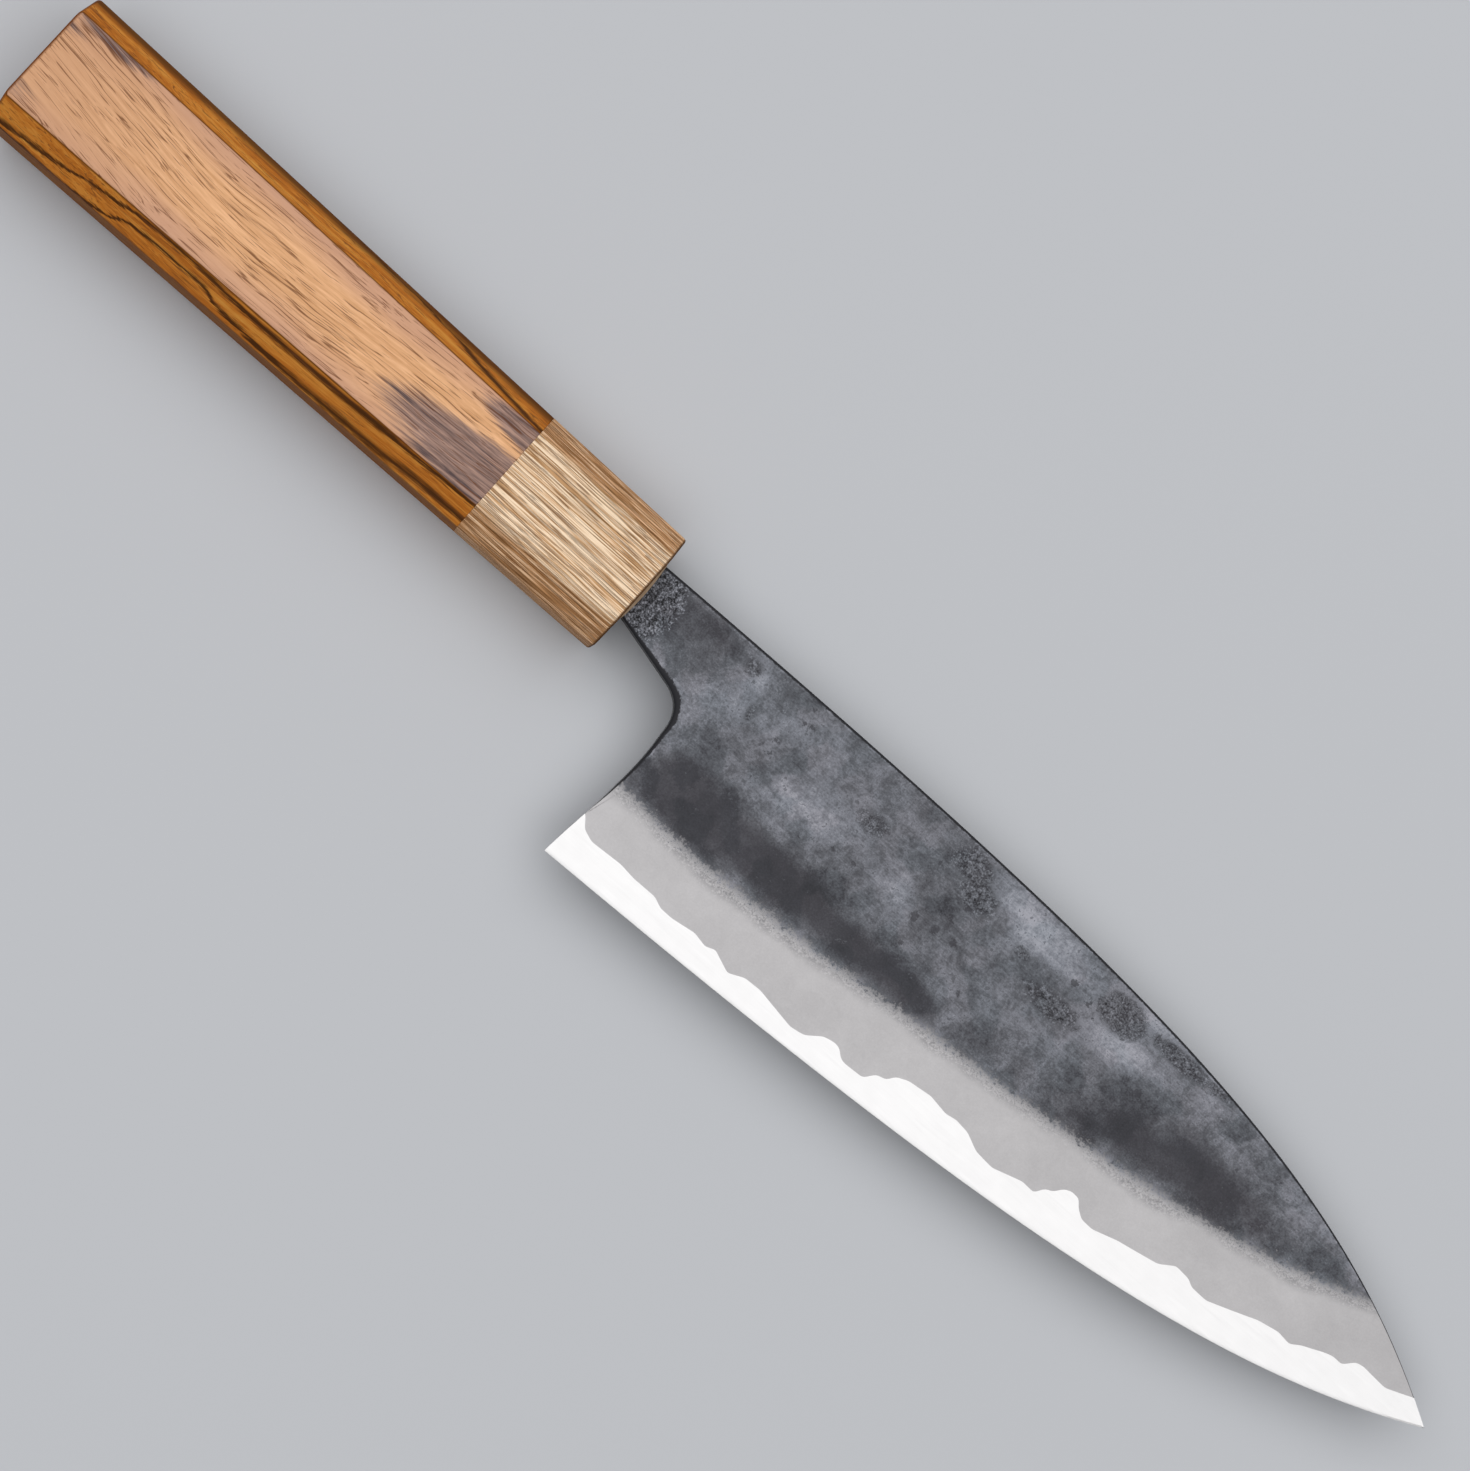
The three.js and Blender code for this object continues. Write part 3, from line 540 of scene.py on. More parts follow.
# The ground bevel, its fringe and worn corner, and the border of the scale over it
border = weighed(tree, above, (mottle, 2.6), (flecks, 3.8), (grit, 3.4))
scale_cover = add(tree, "MapRange", {0: border, 1: -1.1, 2: 0.6}, **SOFT_STEP)
fringe = weighed(tree, above, (billows, 4), (flecks, 2.5), (grit, 3))
fringe = add(tree, "MapRange", {0: fringe, 1: -3.1, 2: -1.5}, **SOFT_STEP)
speckled = weighed(tree, 0.55, (mottle, 0.8), (flecks, 2), (grit, 2.4))
speckled = add(tree, "Mix", {0: speckled, 6: linear("#7c7b7d"), 7: linear("#aba9aa")}, data_type="RGBA")
# Painted shade along the eased corners where the ground iron reaches them
painted_corner_shade_iron = add(tree, "MapRange", {0: from_corner, 1: 0.9, 2: 0.4, 4: 0.85}, **SOFT_STEP)
brushed = weighed(tree, 0.5, (billows, 1.2), (mottle, 0.7), (grit, 0.7))
colour = add(tree, "Mix", {0: brushed, 6: linear("#a09e9f"), 7: linear("#b2b0b1")}, data_type="RGBA")
for cover, covered_colour in ((fringe, speckled), (painted_corner_shade_iron, linear("#2b2b2d")), (scale_cover, tone)):
    colour = add(tree, "Mix", {0: cover, 6: colour, 7: covered_colour}, data_type="RGBA")
metal = add(tree, "MapRange", {0: scale_cover, 3: 1, 4: 0})
relief = weighed(tree, 0, (flecks, 1), (grit, 0.5))
relief = add(tree, "Math", {0: relief, 1: scale_cover}, operation="MULTIPLY")
bump = add(tree, "Bump", {"Height": relief, "Strength": 0.5, "Distance": 0.00008})
surface = add(tree, "BsdfPrincipled", {
    "Base Color": colour, "Metallic": metal, "Roughness": 0.52, "Specular IOR Level": 0.12, "Normal": bump})
add(tree, "OutputMaterial", {"Surface": surface})
for side, cladding in claddings.items():
    cladding.data.materials.append(forged_iron)
    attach(cladding, "root")
    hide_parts(f"{side}_cladding")

# The dowel: plain pale wood, turned round and slotted for the tang, glued into ferrule and body.
# It is hidden once the handle is together.
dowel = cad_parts["dowel"]
# Turned hardwood, left plain: pale and matt, with faint straight grain
dowel_wood, tree, mm = new_material("turned_pale_hardwood")
grain = drawn_out(tree, mm, (18, 0.7, 0.7), Detail=4)
colour = add(tree, "Mix", {0: grain, 6: linear("#cfb48a"), 7: linear("#e0cba6")}, data_type="RGBA")
surface = add(tree, "BsdfPrincipled", {"Base Color": colour, "Roughness": 0.65})
add(tree, "OutputMaterial", {"Surface": surface})
dowel.data.materials.clear()
dowel.data.materials.append(dowel_wood)

# The ferrule: a block of pale, open-grained wood, bored for the dowel and shaped with the handle's body to
# one eight-sided taper. Its front edge is rounded over, and a mouth in its front face takes the neck.
FERRULE_BACK, BUTT = -27.5, -120.3
JOINT_HEIGHT, JOINT_WIDTH = 22.36, 18.21
MOUTH_LOW, MOUTH_HIGH, MOUTH_WIDTH = -5.4, 7.25, 5.5
FACET_HALF, FACET_SLOPE = 8.9, -0.0075  # how far the broad facets lie from the middle, and their taper
STATIONS, CORNER_STEPS, BORE_SIDES = 60, 5, 48
SIZES = [
    "Front", "Back", "Height at Front", "Height at Back", "Width at Front", "Width at Back", "Bevel Height",
    "Bevel Width", "Corner Radius", "Front Ease", "Back Ease", "Bore Radius", "Bore Front", "Bore Back",
    "Mouth Low", "Mouth High", "Mouth Width", "Mouth Depth"]
eight_sided_wood = tree = bpy.data.node_groups.new("eight_sided_wood", "GeometryNodeTree")
inputs = dict.fromkeys(SIZES, "Float") | {"Has Mouth": "Bool", "Axis": "Vector", "Wood": "Material"}
for name, kind in inputs.items():
    tree.interface.new_socket(name, in_out="INPUT", socket_type=f"NodeSocket{kind}")
tree.interface.new_socket("Geometry", in_out="OUTPUT", socket_type="NodeSocketGeometry")
size = tree.nodes.new("NodeGroupInput").outputs

# The section at the front, drawn with even bevels and then stretched across
stretch = add(tree, "Math", {0: size["Bevel Width"], 1: size["Bevel Height"]}, operation="DIVIDE")
squeezed = add(tree, "Math", {0: size["Width at Front"], 1: stretch}, operation="DIVIDE")
ring = add(tree, "GeometryNodeCurvePrimitiveQuadrilateral", {
    "Width": size["Height at Front"], "Height": squeezed})
for steps, radius in ((1, size["Bevel Height"]), (CORNER_STEPS, size["Corner Radius"])):
    ring = add(tree, "GeometryNodeFilletCurve", {
        "Curve": ring, "Count": steps, "Radius": radius}, mode="POLY")
ring_count = add(tree, "GeometryNodeAttributeDomainSize", {"Geometry": ring}, component="CURVE")
ring_count = ring_count.outputs["Point Count"]
around = add(tree, "Math", {0: ring_count, 1: 1}, operation="ADD")
skin = add(tree, "GeometryNodeMeshGrid", {"Vertices X": around, "Vertices Y": STATIONS})
index = add(tree, "GeometryNodeInputIndex")
station = add(tree, "Math", {0: index, 1: STATIONS}, operation="MODULO")
corner = add(tree, "Math", {0: index, 1: STATIONS}, operation="DIVIDE")
corner = add(tree, "Math", {0: corner}, operation="FLOOR")
corner = add(tree, "Math", {0: corner, 1: ring_count}, operation="MODULO")
ring_place = add(tree, "GeometryNodeInputPosition")
sampled = add(tree, "GeometryNodeSampleIndex", {"Geometry": ring, "Value": ring_place, "Index": corner},
              data_type="FLOAT_VECTOR", domain="POINT")
flat = add(tree, "SeparateXYZ", {0: sampled})
wide = add(tree, "Math", {0: flat.outputs["Y"], 1: stretch}, operation="MULTIPLY")
section = add(tree, "CombineXYZ", {"Y": flat.outputs["X"], "Z": wide})

# Stations along the piece, close together at its ends, where its edges are eased as quarter rounds
along = add(tree, "MapRange", {0: station, 1: 1, 2: STATIONS - 2, 3: 0, 4: math.pi})
along = add(tree, "Math", {0: along}, operation="COSINE")
along = add(tree, "MapRange", {0: along, 1: 1, 2: -1})
x = add(tree, "MapRange", {0: along, 3: size["Front"], 4: size["Back"]})
inset = 0
for ease, ahead, behind in ((size["Front Ease"], size["Front"], x), (size["Back Ease"], x, size["Back"])):
    from_end = add(tree, "Math", {0: ahead, 1: behind}, operation="SUBTRACT")
    left = add(tree, "MapRange", {0: from_end, 2: ease, 3: 1, 4: 0})
    squared = add(tree, "Math", {0: left, 1: left}, operation="MULTIPLY")
    rest = add(tree, "Math", {0: 1, 1: squared}, operation="SUBTRACT")
    height = add(tree, "Math", {0: rest}, operation="SQRT")
    short = add(tree, "Math", {0: 1, 1: height}, operation="SUBTRACT")
    inset = add(tree, "Math", {0: short, 1: ease, 2: inset}, operation="MULTIPLY_ADD")
growth = []
for way in ("Height", "Width"):
    more = add(tree, "Math", {0: size[f"{way} at Back"], 1: size[f"{way} at Front"]}, operation="SUBTRACT")
    more = add(tree, "Math", {0: more, 1: along}, operation="MULTIPLY")
    more = add(tree, "Math", {0: more, 1: 0.5}, operation="MULTIPLY")
    growth.append(add(tree, "Math", {0: more, 1: inset}, operation="SUBTRACT"))
growth = add(tree, "CombineXYZ", {"Y": growth[0], "Z": growth[1]})
outward = add(tree, "VectorMath", {0: section}, operation="SIGN")
growth = add(tree, "VectorMath", {0: outward, 1: growth}, operation="MULTIPLY")
section = add(tree, "VectorMath", {0: section, 1: growth}, operation="ADD")

# The first and last station close the ends
to_end = add(tree, "Math", {0: STATIONS - 1, 1: station}, operation="SUBTRACT")
open_ring = add(tree, "Math", {0: station, 1: to_end}, operation="MINIMUM")
open_ring = add(tree, "Math", {0: open_ring, 1: 1}, operation="MINIMUM")
section = add(tree, "VectorMath", {0: section, "Scale": open_ring}, operation="SCALE")
place = add(tree, "CombineXYZ", {"X": x})
for offset in (section, size["Axis"]):
    place = add(tree, "VectorMath", {0: place, 1: offset}, operation="ADD")
skin = add(tree, "GeometryNodeSetPosition", {"Geometry": skin, "Position": place})
skin = add(tree, "GeometryNodeMergeByDistance", {"Geometry": skin, "Distance": 1e-6})

# The bore for the dowel and the mouth for the neck
spans, middles = [], []
for far, near in (("Bore Front", "Bore Back"), ("Mouth High", "Mouth Low")):
    spans.append(add(tree, "Math", {0: size[far], 1: size[near]}, operation="SUBTRACT"))
    middle = add(tree, "Math", {0: size[far], 1: size[near]}, operation="ADD")
    middles.append(add(tree, "Math", {0: middle, 1: 0.5}, operation="MULTIPLY"))
bore_place = add(tree, "CombineXYZ", {"X": middles[0]})
bore_place = add(tree, "VectorMath", {0: bore_place, 1: size["Axis"]}, operation="ADD")
bore = add(tree, "GeometryNodeMeshCylinder", {
    "Vertices": BORE_SIDES, "Radius": size["Bore Radius"], "Depth": spans[0]})
bore = add(tree, "GeometryNodeTransform", {
    "Geometry": bore, "Translation": bore_place, "Rotation": (0, math.pi / 2, 0)})
bored = add(tree, "GeometryNodeMeshBoolean", {"Mesh 1": skin, "Mesh 2": bore}, operation="DIFFERENCE")
mouth_place = add(tree, "CombineXYZ", {"X": size["Front"], "Y": middles[1]})
mouth_place = add(tree, "VectorMath", {0: mouth_place, 1: size["Axis"]}, operation="ADD")
mouth_depth = add(tree, "Math", {0: size["Mouth Depth"], 1: 2}, operation="MULTIPLY")
mouth_size = add(tree, "CombineXYZ", {"X": mouth_depth, "Y": spans[1], "Z": size["Mouth Width"]})
mouth = add(tree, "GeometryNodeMeshCube", {"Size": mouth_size})
mouth = add(tree, "GeometryNodeTransform", {"Geometry": mouth, "Translation": mouth_place})
opened = add(tree, "GeometryNodeMeshBoolean", {"Mesh 1": bored, "Mesh 2": mouth}, operation="DIFFERENCE")
made = add(tree, "GeometryNodeSwitch", {"Switch": size["Has Mouth"], "False": bored, "True": opened},
           input_type="GEOMETRY")
made = add(tree, "GeometryNodeRealizeInstances", {"Geometry": made})
made = add(tree, "GeometryNodeSetMaterial", {"Geometry": made, "Material": size["Wood"]})
add(tree, "NodeGroupOutput", {"Geometry": made})


def shape_wood(name, wood, has_mouth, sizes):
    """One piece of the eight-sided handle as a plain mesh, with sizes in mm from the ferrule's front."""
    piece = put_in_scene(name, bpy.data.meshes.new(name))
    shaping = piece.modifiers.new("shaping", "NODES")
    shaping.node_group = eight_sided_wood
    values = {key: value / 1000 for key, value in sizes.items()}
    values |= {"Has Mouth": has_mouth, "Axis": tuple(FERRULE_FRONT / 1000), "Wood": wood}
    for socket in eight_sided_wood.interface.items_tree:
        if socket.name in values:
            shaping[socket.identifier] = values[socket.name]
    shaped = piece.evaluated_get(bpy.context.evaluated_depsgraph_get())
    mesh = bpy.data.meshes.new_from_object(shaped)
    piece.modifiers.remove(shaping)
    piece.data = mesh
    mesh.shade_flat()
    return piece


def facet_depth(tree, mm):
    """x, y and z in the handle, and how deep that lies below the broad facets."""
    x, y, z = add(tree, "SeparateXYZ", {0: mm}).outputs
    facet = add(tree, "Math", {0: x, 1: FACET_SLOPE, 2: FACET_HALF}, operation="MULTIPLY_ADD")
    from_middle = add(tree, "Math", {0: z}, operation="ABSOLUTE")
    return x, y, z, add(tree, "Math", {0: facet, 1: from_middle}, operation="SUBTRACT")


# Pale open-grained wood, sanded and oiled: straight brown lines, short dark pores, a satin sheen, and end
# grain at the front that has drunk the oil and turned dark. Its fibres are drawn coarser than they are.
ferrule_wood, tree, mm = new_material("oiled_open_grained_wood")
bends = drawn_out(tree, mm, (14, 5, 5), Detail=1).outputs["Color"]
waved = add(tree, "VectorMath", {0: bends, 1: (0, 0.4, 0.4), 2: mm}, operation="MULTIPLY_ADD")
lines = drawn_out(tree, waved, (140, 0.6, 0.6), Detail=3, Roughness=0.7)
fibres = drawn_out(tree, waved, (8, 0.17, 0.17), Detail=2)
pores = drawn_out(tree, waved, (5, 0.22, 0.22), Detail=1)
# The broad facets are painted paler than the bevels, as a painted sheen of the lamp on them, and the bevels
# darker, as painted shade
along, *_, depth = facet_depth(tree, mm)
on_bevel = add(tree, "MapRange", {0: depth, 1: 0, 2: 0.7})
painted_facet_sheen = add(tree, "MapRange", {0: on_bevel, 3: 0.8, 4: 0.58})
grain = weighed(tree, painted_facet_sheen, (lines, 1.6), (fibres, 2.2))
vessel = add(tree, "Math", {0: lines, 1: 0.5}, operation="SUBTRACT")
vessel = add(tree, "Math", {0: vessel}, operation="ABSOLUTE")
vessel = add(tree, "MapRange", {0: vessel, 1: 0.035, 2: 0.008, 4: 0.6}, **SOFT_STEP)
pore_part = add(tree, "MapRange", {0: pores, 1: 0.62, 2: 0.67, 4: 0.6}, **SOFT_STEP)
pore_part = add(tree, "Math", {0: pore_part, 1: vessel}, operation="MAXIMUM")
end_part = add(tree, "MapRange", {0: along, 1: -0.55, 2: -0.2, 4: 0.9}, **SOFT_STEP)
colour = add(tree, "ValToRGB", {0: grain})
set_stops(colour, {0: "#6c4a2b", 0.3: "#a1784f", 0.6: "#d1a476", 1: "#ffe4c4"})
colour = add(tree, "Mix", {
    0: on_bevel, 6: colour, 7: linear("#f9ece1")}, data_type="RGBA", blend_type="MULTIPLY")
for cover, dark_colour in ((pore_part, "#573820"), (end_part, "#55361b")):
    colour = add(tree, "Mix", {0: cover, 6: colour, 7: linear(dark_colour)}, data_type="RGBA")
relief = add(tree, "Math", {0: pore_part, 1: -1.5, 2: grain}, operation="MULTIPLY_ADD")
bump = add(tree, "Bump", {"Height": relief, "Strength": 0.6, "Distance": 0.0001})
surface = add(tree, "BsdfPrincipled", {
    "Base Color": colour, "Roughness": 0.3, "IOR": 1.5, "Specular IOR Level": 0,
    "Coat Weight": 0.15, "Coat Roughness": 0.25, "Normal": bump})
add(tree, "OutputMaterial", {"Surface": surface})
HANDLE_SECTION = {"Bevel Height": 4, "Bevel Width": 4.9, "Corner Radius": 0.95, "Bore Radius": 6.65}
ferrule = shape_wood("ferrule_wood", ferrule_wood, True, HANDLE_SECTION | {
    "Front": 0, "Back": FERRULE_BACK, "Height at Front": 21.69, "Height at Back": JOINT_HEIGHT,
    "Width at Front": 17.79, "Width at Back": JOINT_WIDTH, "Front Ease": 0.5, "Back Ease": 0.06,
    "Bore Front": -5, "Bore Back": -30, "Mouth Low": MOUTH_LOW, "Mouth High": MOUTH_HIGH,
    "Mouth Width": MOUTH_WIDTH, "Mouth Depth": 7})
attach(ferrule, "root")
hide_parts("ferrule")

# The handle's body: a streaked orange-brown wood, bored for the dowel, glued against the ferrule and shaped
# with it, then sanded and lacquered. Its butt is flat, with its edge rounded over.
DEEPEST = 6  # depth in mm at the full height of a dark layer's curve
# Smoky patches on the broad facets: place, reach along and across, strength
SMOKE = [
    (-24, 5.6, 17, 3, 2.1), (-22, -3.4, 33, 7, 2.3), (-112, 8.4, 10, 2.2, 1.3), (-120, -6.2, 9, 4, 0.7),
    (-120, 6, 6, 3, 0.6),
]
# Dark layers on the bevels: which half of the handle, half their width, and x and depth below the facet
DARK_LAYERS = [
    (-1, 0.7, [
        (-120, 4.1), (-107, 2.9), (-102, 1.9), (-97, 1.4), (-91, 0.6), (-84, 0.5), (-76, 1), (-67, 1.25),
        (-58, 1.2), (-45, 0.8), (-27, 0.4)]),
    (-1, 0.65, [
        (-106, 5.2), (-98, 4.3), (-92.5, 2.7), (-80, 2.6), (-76.5, 3.6), (-67, 4.1), (-58, 4.2), (-44, 4),
        (-38, 3.5), (-27, 3.4)]),
    (1, 0.6, [(-80, 5.4), (-67, 4.6), (-58, 4.1), (-49, 3.5), (-40, 2.1), (-33.5, 1.3), (-27, 0.6)]),
]

# Flat-sawn hardwood under lacquer: the broad facets are pale, partly from a pale layer with fine pores and
# partly as a painted sheen of the lamp on them, and smoky where a darker layer comes up under the pale one.
# The bevels cut through orange layers and thin dark ones, which run along them in slow waves, and the lacquer
# wets it all.
# Fibres and fuzz are drawn coarser than they are.
handle_wood, tree, mm = new_material("lacquered_streaked_hardwood")
along, across, through, depth = facet_depth(tree, mm)
# The grain falls from the butt and climbs again from the middle of the handle
falling = add(tree, "Math", {0: along, 1: -0.12, 2: -10}, operation="MULTIPLY_ADD")
climbing = add(tree, "Math", {0: along, 1: 0.06, 2: 5}, operation="MULTIPLY_ADD")
dip = add(tree, "Math", {0: falling, 1: climbing, 2: 3}, operation="SMOOTH_MAX")
level = add(tree, "Math", {0: across, 1: dip}, operation="SUBTRACT")
grown = add(tree, "CombineXYZ", {"X": along, "Y": level, "Z": through})
clouds = drawn_out(tree, mm, (30, 7, 7), Detail=2)
waved = add(tree, "VectorMath", {
    0: clouds.outputs["Color"], 1: (0, 3, 2), 2: grown}, operation="MULTIPLY_ADD")
fibres = drawn_out(tree, waved, (26, 0.45, 0.45), Detail=4, Roughness=0.6)
pores = drawn_out(tree, waved, (8, 0.18, 0.18), Detail=1)
fuzz = drawn_out(tree, waved, (2.5, 0.2, 0.2), Detail=2)
streaks = drawn_out(tree, waved, (70, 1.1, 1.1), Detail=3)

# The pale layer with its painted sheen, pinker towards the facet's edges, duller towards the butt, and smoky
# in patches
streaky = add(tree, "MapRange", {0: weighed(tree, fibres, (fuzz, 0.4)), 1: 0.3, 2: 0.7})
tan = add(tree, "Mix", {0: streaky, 6: linear("#f0bb8d"), 7: linear("#cd9768")}, data_type="RGBA")
to_edge = add(tree, "Math", {0: across}, operation="ABSOLUTE")
to_edge = weighed(tree, to_edge, (clouds, 9))
pink = add(tree, "MapRange", {0: to_edge, 1: 3, 2: 8, 4: 0.75})
to_butt = add(tree, "MapRange", {0: along, 1: -88, 2: -116, 4: 0.6})
smoke = 0
for smoke_x, smoke_y, reach_x, reach_y, amount in SMOKE:
    patch = add(tree, "Mapping", {
        "Vector": mm, "Location": (-smoke_x / reach_x, -smoke_y / reach_y, 0),
        "Scale": (1 / reach_x, 1 / reach_y, 0)})
    patch = add(tree, "TexGradient", {"Vector": patch}, gradient_type="SPHERICAL").outputs["Fac"]
    smoke = add(tree, "Math", {0: patch, 1: amount, 2: smoke}, operation="MULTIPLY_ADD")
smoke = weighed(tree, smoke, (fibres, 1.1), (pores, 0.4), (clouds, 0.8))
smoke = add(tree, "MapRange", {0: smoke, 1: 0.2, 2: 0.75, 4: 0.95}, **SOFT_STEP)
smoky = add(tree, "Mix", {0: streaky, 6: linear("#ae8d7f"), 7: linear("#493e43")}, data_type="RGBA")
for cover, covered_colour in ((pink, linear("#c69880")), (to_butt, linear("#c79776")), (smoke, smoky)):
    tan = add(tree, "Mix", {0: cover, 6: tan, 7: covered_colour}, data_type="RGBA")

# The orange layers, darker along both edges of a bevel. On the side facets, and along the outer edges of the
# bevels on the spine's side, that darkening is painted shade.
orange = weighed(tree, streaks, (fibres, 0.5), (fuzz, 0.7))
orange = add(tree, "ValToRGB", {0: orange})
set_stops(orange, {0: "#8a4e1c", 0.4: "#bd6f24", 0.6: "#cf8534", 1: "#dca04a"})
ragged = weighed(tree, depth, (fibres, 1.3), (fuzz, 0.8))
by_facet = add(tree, "MapRange", {0: depth, 1: 0.5, 2: 0.25, 4: 0.75}, **SOFT_STEP)
painted_rim_share = add(tree, "MapRange", {0: across, 1: -1, 2: 1, 3: 0, 4: 0.85})
painted_rim_shade = add(tree, "MapRange", {0: ragged, 1: 2.6, 2: 4.3, 4: painted_rim_share}, **SOFT_STEP)
painted_side_shade = add(tree, "MapRange", {0: depth, 1: 4.7, 2: 5.1, 4: 0.6}, **SOFT_STEP)
dark = by_facet
for darker in (painted_rim_shade, painted_side_shade):
    dark = add(tree, "Math", {0: dark, 1: darker}, operation="MAXIMUM")

# The thin dark layers
share_along = add(tree, "MapRange", {0: along, 1: BUTT, 2: FERRULE_BACK})
for half, half_width, course in DARK_LAYERS:
    line = add(tree, "FloatCurve", {"Value": share_along})
    curve = line.mapping.curves[0]
    course = [((x - BUTT) / (FERRULE_BACK - BUTT), deep / DEEPEST) for x, deep in course]
    curve.points[0].location, curve.points[1].location = course[0], course[-1]
    for x, deep in course[1:-1]:
        curve.points.new(x, deep)
    line.mapping.extend = "HORIZONTAL"
    line.mapping.update()
    line = add(tree, "Math", {0: line, 1: -DEEPEST, 2: ragged}, operation="MULTIPLY_ADD")
    line = add(tree, "Math", {0: line}, operation="ABSOLUTE")
    wide = add(tree, "MapRange", {0: clouds, 1: 0.35, 2: 0.65, 3: half_width / 2, 4: half_width * 1.6})
    line = add(tree, "MapRange", {0: line, 1: wide, 2: 0.12, 4: 0.95}, **SOFT_STEP)
    on_half = add(tree, "Math", {0: across, 1: half}, operation="MULTIPLY")
    on_half = add(tree, "Math", {0: on_half, 1: 0}, operation="GREATER_THAN")
    line = add(tree, "Math", {0: line, 1: on_half}, operation="MULTIPLY")
    dark = add(tree, "Math", {0: dark, 1: line}, operation="MAXIMUM")
orange = add(tree, "Mix", {0: dark, 6: orange, 7: linear("#422409")}, data_type="RGBA")
on_bevel = add(tree, "MapRange", {0: depth, 1: 0.1, 2: 0.22}, **SOFT_STEP)

# Pores, as short dark dashes and a few long thin lines, and the end grain at the butt
dashes = add(tree, "MapRange", {0: pores, 1: 0.635, 2: 0.68, 4: 0.7})
thin = drawn_out(tree, waved, (34, 1.4, 1.4), Detail=2)
thin = add(tree, "Math", {0: thin, 1: 0.5}, operation="SUBTRACT")
thin = add(tree, "Math", {0: thin}, operation="ABSOLUTE")
thin = add(tree, "MapRange", {0: thin, 1: 0.018, 2: 0.006})
shown = add(tree, "MapRange", {0: fibres, 1: 0.44, 2: 0.54, 4: 0.75})
thin = add(tree, "Math", {0: thin, 1: shown}, operation="MULTIPLY")
pore_part = add(tree, "Math", {0: dashes, 1: thin}, operation="MAXIMUM")
end_part = add(tree, "MapRange", {0: along, 1: -119.6, 2: -120.1, 4: 0.8}, **SOFT_STEP)
colour = tan
for cover, covered_colour in (
        (on_bevel, orange), (pore_part, linear("#6a3d1f")), (end_part, linear("#6f3a12"))):
    colour = add(tree, "Mix", {0: cover, 6: colour, 7: covered_colour}, data_type="RGBA")
bump = add(tree, "Bump", {"Height": pore_part, "Strength": 0.3, "Distance": 0.0001}, invert=True)
surface = add(tree, "BsdfPrincipled", {
    "Base Color": colour, "Roughness": 0.4, "IOR": 1.5, "Specular IOR Level": 0,
    "Coat Weight": 0.15, "Coat Roughness": 0.16, "Normal": bump})
add(tree, "OutputMaterial", {"Surface": surface})
body = shape_wood("handle_body_wood", handle_wood, False, HANDLE_SECTION | {
    "Front": FERRULE_BACK, "Back": BUTT, "Height at Front": JOINT_HEIGHT, "Height at Back": 24.62,
    "Width at Front": JOINT_WIDTH, "Width at Back": 19.6, "Front Ease": 0.06, "Back Ease": 0.7,
    "Bore Front": -25, "Bore Back": -83.6})
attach(body, "root")
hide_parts("handle_body")

# The resin that seals the mouth round the neck: poured in, set hard and left in a low bead, which climbs a
# little up the neck.
SEAL_DEPTH, SEAL_GAP = 2.6, 0.03
BEAD_SUNK, BEAD_RISE, BEAD_SAG, BEAD_HOLLOW = 0.1, 0.7, 0.3, 1.6
BEAD_MIDDLE, BEAD_HALF = 0.6, 5  # the bead is highest halfway up the neck and sags towards both ends
BEAD_STEPS, RING_STEPS = 8, 24


def round_box(low, high, half):
    """Points round a rectangle in y and z, evenly spaced along each of its four sides."""
    side, still = np.linspace(0, 1, RING_STEPS, endpoint=False), np.ones(RING_STEPS)
    y = np.concatenate([low + (high - low) * side, high * still, high - (high - low) * side, low * still])
    z = np.concatenate([half * still, half - 2 * half * side, -half * still, -half + 2 * half * side])
    return np.stack([y, z], 1)


wall = round_box(MOUTH_LOW + SEAL_GAP, MOUTH_HIGH - SEAL_GAP, MOUTH_WIDTH / 2 - SEAL_GAP)
neck = round_box(-NECK_DROP - SEAL_GAP, NECK_TOP + SEAL_GAP, NECK_THICKNESS / 2 + SEAL_GAP)
proud = BEAD_RISE - BEAD_SAG * np.clip(np.abs(neck[:, 0] - BEAD_MIDDLE) / BEAD_HALF, 0, 1) ** 2
at_neck = neck.copy()
at_neck[:, 0] -= np.where(neck[:, 0] < -NECK_DROP, NECK_FALL * proud, 0)
rings = [np.insert(outline, 0, -SEAL_DEPTH, axis=1) for outline in (neck, wall)]
for step in np.linspace(0, 1, BEAD_STEPS):
    x = -BEAD_SUNK + (BEAD_SUNK + proud) * step**BEAD_HOLLOW
    rings.append(np.column_stack([x, wall * (1 - step) + at_neck * step]))
rings.append(rings[0])
rings = [np.concatenate([ring, ring[:1]]) for ring in rings]
seal = piece_from("tang_seal_bead", rings, [grid_faces(0, len(rings), len(rings[0]))], 50)
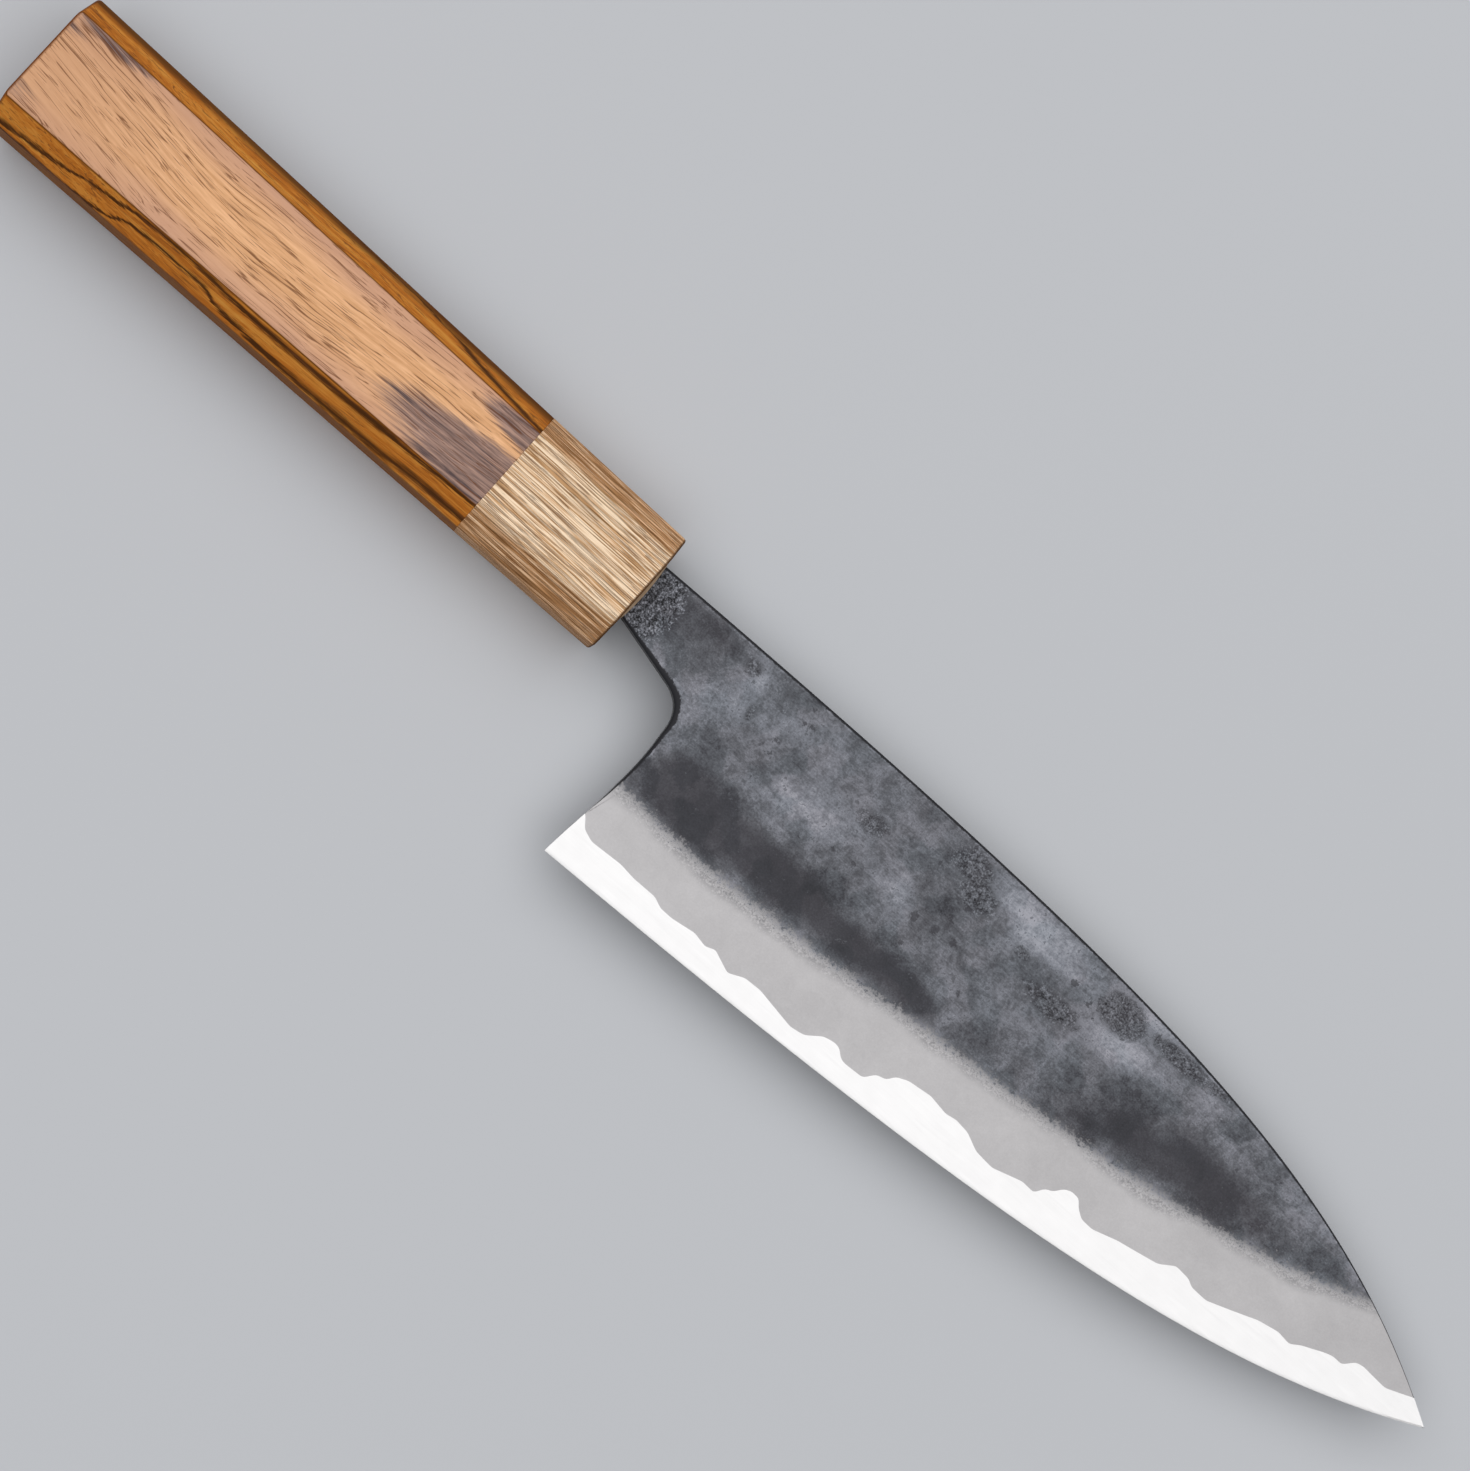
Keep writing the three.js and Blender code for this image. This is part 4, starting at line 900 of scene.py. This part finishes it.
# Set resin: clouded tan with a soft gloss
resin, tree, mm = new_material("set_tan_resin")
cloudy = add(tree, "TexNoise", {"Vector": mm, "Scale": 1 / 1.2, "Detail": 3})
colour = add(tree, "Mix", {0: cloudy, 6: linear("#9a7b5e"), 7: linear("#c4ab8e")}, data_type="RGBA")
surface = add(tree, "BsdfPrincipled", {"Base Color": colour, "Roughness": 0.35})
add(tree, "OutputMaterial", {"Surface": surface})
seal.data.materials.append(resin)
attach(seal, "root")
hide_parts("tang_seal")

# The stage: a plain pale grey floor, a large soft box above, even light all round, and the camera.
FLOOR_HALF, SOFTBOX_SIDE = 8, 3.8
floor_mesh = bpy.data.meshes.new("floor")
corners = [(x * FLOOR_HALF, y * FLOOR_HALF, 0) for x, y in ((-1, -1), (1, -1), (1, 1), (-1, 1))]
floor_mesh.from_pydata(corners, [], [(0, 1, 2, 3)])
floor = put_in_scene("floor", floor_mesh)
# Matt paint, even all over
painted_floor, tree, _ = new_material("painted_floor")
surface = add(tree, "BsdfPrincipled", {"Base Color": linear("#c0c2c6"), "Roughness": 0.8})
add(tree, "OutputMaterial", {"Surface": surface})
floor_mesh.materials.append(painted_floor)

world = bpy.data.worlds.new("studio")
world.use_nodes = True
world.node_tree.nodes["Background"].inputs["Color"].default_value = (0.16, 0.1615, 0.165, 1)
world.node_tree.nodes["Background"].inputs["Strength"].default_value = 1
bpy.context.scene.world = world
softbox_light = bpy.data.lights.new("softbox", "AREA")
softbox_light.shape = "RECTANGLE"
softbox_light.size = softbox_light.size_y = SOFTBOX_SIDE
softbox_light.energy = 75
softbox = put_in_scene("softbox", softbox_light)
softbox.location = (-0.16, 0.2, 2.16)
softbox.rotation_euler = (-softbox.location).to_track_quat("-Z", "Y").to_euler()

camera_data = bpy.data.cameras.new("camera")
camera_data.lens = 97.89
camera_data.sensor_width = 36
camera = put_in_scene("camera", camera_data)
camera.location = (-0.05223, -0.06206, 0.61902)
camera.rotation_euler = [math.radians(turn) for turn in (1.835, -7.685, 41.436)]
bpy.context.scene.camera = camera
bpy.context.scene.view_settings.view_transform = "Standard"
